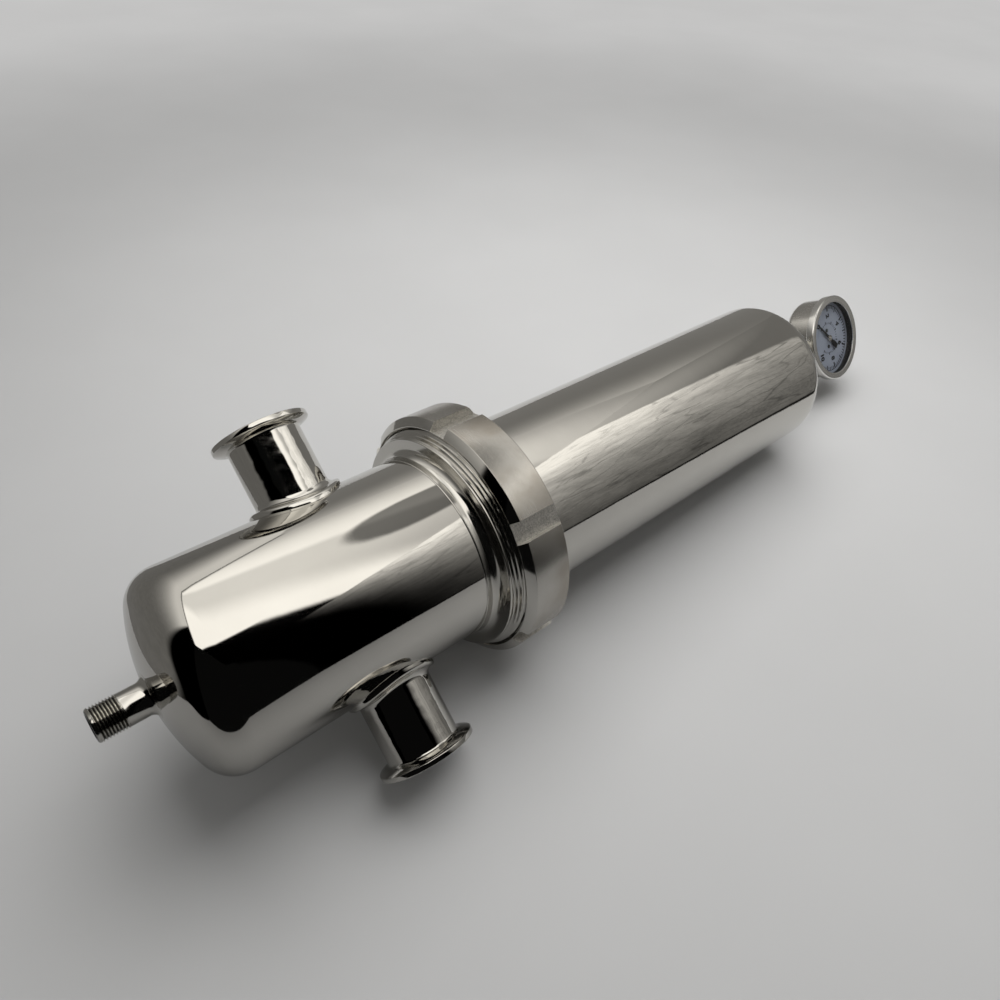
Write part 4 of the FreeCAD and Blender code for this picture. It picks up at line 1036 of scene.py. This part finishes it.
def make_as_built():
    merge = 1e-6
    for node, (body, finish, slot) in as_built.items():
        bm = bmesh.new()
        bm.from_mesh(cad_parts[node].data)
        bmesh.ops.remove_doubles(bm, verts=bm.verts, dist=merge)
        set_index(bm)
        piece_in_metres(bm, node + "_finished", body, finish, [node], 30)


make_base_shell()
make_ferrules()
make_nozzle_collars()
make_drain_nipple()
make_threaded_collar()
make_bowl_shell()
make_bowl_liner()
make_gauge_boss()
make_union_nut()
make_gauge_case()
make_gauge_bezel()
make_gauge_window()
make_window_gasket()
make_dial()
make_pointer()
make_gauge_washer()
make_as_built()


# Camera

camera_place = Vector((-0.00478, -0.3772, -0.0170))
camera_right = Vector((0.4632, -0.4862, 0.7410))
camera_up = Vector((-0.8862, -0.2544, 0.3871))
camera_back = Vector((0.0003, -0.8360, -0.5487))
camera_lens = 28.37
camera_sensor = 36.0


def make_camera():
    data = bpy.data.cameras.new("camera")
    data.lens = camera_lens
    data.sensor_width = camera_sensor
    data.clip_start = 0.01
    data.clip_end = 50.0
    camera = bpy.data.objects.new("camera", data)
    turn = Matrix((camera_right, camera_up, camera_back)).transposed()
    camera.matrix_world = Matrix.Translation(camera_place) @ turn.to_4x4()
    bpy.context.scene.collection.objects.link(camera)
    bpy.context.scene.camera = camera


# Stage: the filter lies in a small light tent. Stage places are metres in the table's frame:
# right, ahead and up from the point of the table that is straight below the camera.

table_right = Vector((0.52703, -0.46619, 0.71057))
table_ahead = Vector((-0.59377, 0.39619, 0.70033))
table_up = Vector((-0.60801, -0.79101, -0.06800))
camera_height = 0.3859
tent_left = -0.24
tent_left_far = -0.41
tent_right = 0.39
tent_back = 1.03
tent_height = 0.60
tent_front = -0.075


def table_frame():
    """The matrix that takes stage places into the model's frame."""
    turn = Matrix((table_right, table_ahead, table_up)).transposed().to_4x4()
    return Matrix.Translation(camera_place - table_up * camera_height) @ turn


def stage_sheet(name, corners, material):
    """A flat stage surface from its corners in the table's frame."""
    bm = bmesh.new()
    bm.faces.new([bm.verts.new(corner) for corner in corners])
    mesh = bpy.data.meshes.new(name)
    bm.to_mesh(mesh)
    bm.free()
    mesh.materials.append(material)
    sheet = bpy.data.objects.new(name, mesh)
    sheet.matrix_world = table_frame()
    bpy.context.scene.collection.objects.link(sheet)
    return sheet


def only_reflected(thing):
    """Hides a sheet from everything but mirrored rays."""
    thing.visible_camera = False
    thing.visible_diffuse = False
    thing.visible_shadow = False
    thing.visible_volume_scatter = False


def one_sided(paint, shader):
    """Lets the camera look through a surface from behind."""
    behind = paint.node("ShaderNodeNewGeometry", output=6)
    seen = paint.node("ShaderNodeLightPath", output=0)
    clear = paint.node("ShaderNodeBsdfTransparent")
    mixed = paint.node("ShaderNodeMixShader", sockets={0: behind * seen, 1: shader, 2: clear})
    return paint.finish(mixed)


def floor_paint(name):
    """Pale floor: plain to the camera far from the filter, and darkened with painted shade where the steel
    mirrors it near its front.
    """
    filter_right = 0.05
    filter_ahead = 0.35
    paint = Paint(name)
    place = paint.place()
    right, ahead = paint.split(place)[:2]
    cloud = paint.noise(place, 5.0, 3.0, 0.5)
    colour = paint.mix(cloud, grey(190, 0.005), grey(200, 0.005))
    matt = paint.node("ShaderNodeBsdfDiffuse", sockets={"Color": colour})
    plain = paint.node("ShaderNodeEmission", sockets={"Color": colour, "Strength": 1.0})
    dark = paint.node("ShaderNodeEmission", sockets={"Strength": 0.0})
    away = ((right - filter_right) ** 2 + (ahead - filter_ahead) ** 2) ** 0.5
    seen = paint.node("ShaderNodeLightPath", output=0)
    in_steel = paint.node("ShaderNodeLightPath", output=3)
    # Painted shade: mirrored rays see the floor darker towards the tent's front
    painted_shade_in_steel = in_steel * (0.42 - ahead * 0.8).maximum(0.0)
    shader = paint.node("ShaderNodeMixShader", sockets={0: away.step(0.95, 0.90) * seen, 1: matt, 2: plain})
    shader = paint.node("ShaderNodeMixShader", sockets={0: painted_shade_in_steel, 1: shader, 2: dark})
    return one_sided(paint, shader)


def glow(name, draw, strength):
    """An emission whose level is drawn from the place on the table's frame."""
    paint = Paint(name)
    right, ahead, up = paint.split(paint.place())
    level = draw(paint, right, ahead, up)
    colour = paint.mix(level, (0.0, 0.0, 0.0, 1.0), (1.0, 0.975, 0.93, 1.0))
    return paint.finish(paint.node("ShaderNodeEmission", sockets={0: colour, 1: strength}))


def ceiling_level(paint, right, ahead, up):
    """Bright cloth with a dark near end, a rounded near corner and the soft grey oval of the hole above."""
    hole_right = 0.11
    hole_ahead = 0.563
    half_length = 0.165
    half_width = 0.12
    lean_right = 0.63
    lean_ahead = 0.77
    edge = ahead + right * 0.16
    mouth = edge + (0.17 - right).maximum(0.0) * 0.97
    corner = 0.13
    inward = (corner - (mouth - 0.17)).maximum(0.0)
    sideways = (corner - (right + ahead * 0.155 + 0.252)).maximum(0.0)
    bright = (corner - (inward ** 2 + sideways ** 2) ** 0.5).step(0.015, 0.03)
    along = (right - hole_right) * lean_right - (ahead - hole_ahead) * lean_ahead
    across = (right - hole_right) * lean_ahead + (ahead - hole_ahead) * lean_right
    hole = ((along / half_length) ** 2 + (across / half_width) ** 2) ** 0.5
    shade = 1 - (1 - hole.step(1.0, 0.22)) * 0.78
    fall = 1 - edge.step(0.32, 0.14) * 0.30 + ahead.step(0.56, 0.06) * 0.27
    far = 1 - ahead.step(0.80, 0.50) * 0.56
    side = 1 - right.step(0.20, 0.40) * edge.step(0.32, 0.10) * 0.35
    return bright * shade * fall * far * side


def right_wall_level(paint, right, ahead, up):
    """Crumpled cloth, brighter higher up, with a dark strap at its foot and a smooth far part."""
    bend = paint.noise(paint.join(ahead, up, 0.0), 7.0, 3.0, 0.6)
    folds = paint.noise(paint.join(ahead, up * 0.6 + bend * 0.12, 0.0), 24.0, 6.0, 0.7)
    grain = paint.noise(paint.join(ahead * 1.5, up * 0.45, 0.0), 240.0, 3.0, 0.75)
    cells = paint.join(ahead * 0.8 + bend * 0.16, up * 2.0 + bend * 0.30, 0.0)
    crease = paint.node("ShaderNodeTexVoronoi", {"feature": "DISTANCE_TO_EDGE", "voronoi_dimensions": "2D"},
                        {"Vector": cells, "Scale": 9.0})
    crack = 1 - crease.step(0.018, 0.036)
    rise = 0.10 + up * 0.375 + up * up * 2.69
    crumpled = rise * (1.03 + (folds - 0.5) * 1.5 + (grain - 0.5) * 1.3) * (1 - crack * folds * 0.9)
    smooth = 0.137 + (up - 0.33).maximum(0.0) * (3.5 - ahead * 3.1)
    far = (ahead - up * 0.09).step(0.602, 0.02)
    level = crumpled * (0.72 + ahead.step(0.42, 0.10) * 0.28) * (1 - far) + smooth * far
    strap = up.between(0.003, 0.012, 0.003)
    return level.maximum(0.01) * ahead.step(0.16, 0.24) * (1 - strap * 0.93)


def left_wall_level(paint, right, ahead, up):
    """Grey at its foot, bright from a hand above it, black at the open front."""
    grain = paint.noise(paint.join(ahead, up, 0.0), 60.0, 4.0, 0.7)
    lit = 0.17 + up.step(0.30, 0.30) * 0.75
    return (lit + (grain - 0.5) * 0.08) * ahead.step(0.115, 0.03)


def back_wall_level(paint, right, ahead, up):
    """Even grey, brighter towards the ceiling."""
    return 0.245 + (up - 0.28).maximum(0.0) ** 2 * 3.8


def level_corners(left, right, near, far, height=0.0):
    return [(left, near, height), (right, near, height), (right, far, height), (left, far, height)]


def wall_corners(start, end):
    """Corners of a wall of the tent that stands between two places on the floor."""
    return [(*start, 0.0), (*end, 0.0), (*end, tent_height), (*start, tent_height)]


def make_stage():
    """The floor, an apron under the camera that steel doesn't see, and the tent's glowing sheets."""
    half = 3.0
    far = 6.0
    floor = floor_paint("floor_paint")
    stage_sheet("floor", level_corners(-half, half, tent_front, far), floor)
    apron = stage_sheet("floor_apron", level_corners(-half, half, -far, tent_front), floor)
    apron.visible_glossy = False
    near_left = (tent_left, tent_front)
    far_left = (tent_left_far, tent_back)
    near_right = (tent_right, tent_front)
    far_right = (tent_right, tent_back)
    ceiling = level_corners(tent_left_far, tent_right, tent_front, tent_back, tent_height)
    panels = {
        "tent_ceiling": (ceiling_level, 1.65, ceiling),
        "tent_right": (right_wall_level, 1.6, wall_corners(near_right, far_right)),
        "tent_left": (left_wall_level, 1.0, wall_corners(near_left, far_left)),
        "tent_back": (back_wall_level, 1.0, wall_corners(far_left, far_right)),
    }
    for name, (draw, strength, corners) in panels.items():
        only_reflected(stage_sheet(name, corners, glow(name + "_glow", draw, strength)))


def make_lamp(name, place, aim, size, power):
    data = bpy.data.lights.new(name, "AREA")
    data.shape = "RECTANGLE"
    data.size = size[0]
    data.size_y = size[1]
    data.energy = power
    lamp = bpy.data.objects.new(name, data)
    here = table_frame() @ Vector(place)
    there = table_frame() @ Vector(aim)
    lamp.location = here
    lamp.rotation_mode = "QUATERNION"
    lamp.rotation_quaternion = (there - here).to_track_quat("-Z", "Y")
    lamp.visible_glossy = False
    bpy.context.scene.collection.objects.link(lamp)


def make_world():
    """Pale for the camera, a soft even fill for the rest, dark where metal looks out of the tent."""
    camera_level = 0.62
    fill_level = 0.25
    mirror_level = 0.004
    world = bpy.data.worlds.new("studio")
    bpy.context.scene.world = world
    world.use_nodes = True
    tree = world.node_tree
    tree.nodes.clear()
    output = tree.nodes.new("ShaderNodeOutputWorld")
    path = tree.nodes.new("ShaderNodeLightPath")

    def shade(level):
        made = tree.nodes.new("ShaderNodeBackground")
        made.inputs["Color"].default_value = (level, level, level * 0.985, 1.0)
        return made.outputs[0]

    def either(ray, rest, when):
        """One shade for a kind of ray and another for the rest."""
        mixed = tree.nodes.new("ShaderNodeMixShader")
        tree.links.new(path.outputs[ray], mixed.inputs[0])
        tree.links.new(rest, mixed.inputs[1])
        tree.links.new(when, mixed.inputs[2])
        return mixed.outputs[0]

    unseen = either("Is Glossy Ray", shade(fill_level), shade(mirror_level))
    tree.links.new(either("Is Camera Ray", unseen, shade(camera_level)), output.inputs["Surface"])


make_camera()
make_stage()
make_lamp("key_lamp", place=(0.12, 0.62, 0.80), aim=(0.12, 0.50, 0.0), size=(0.90, 0.90), power=8.4)
make_world()

scene = bpy.context.scene
scene.view_settings.view_transform = "Standard"
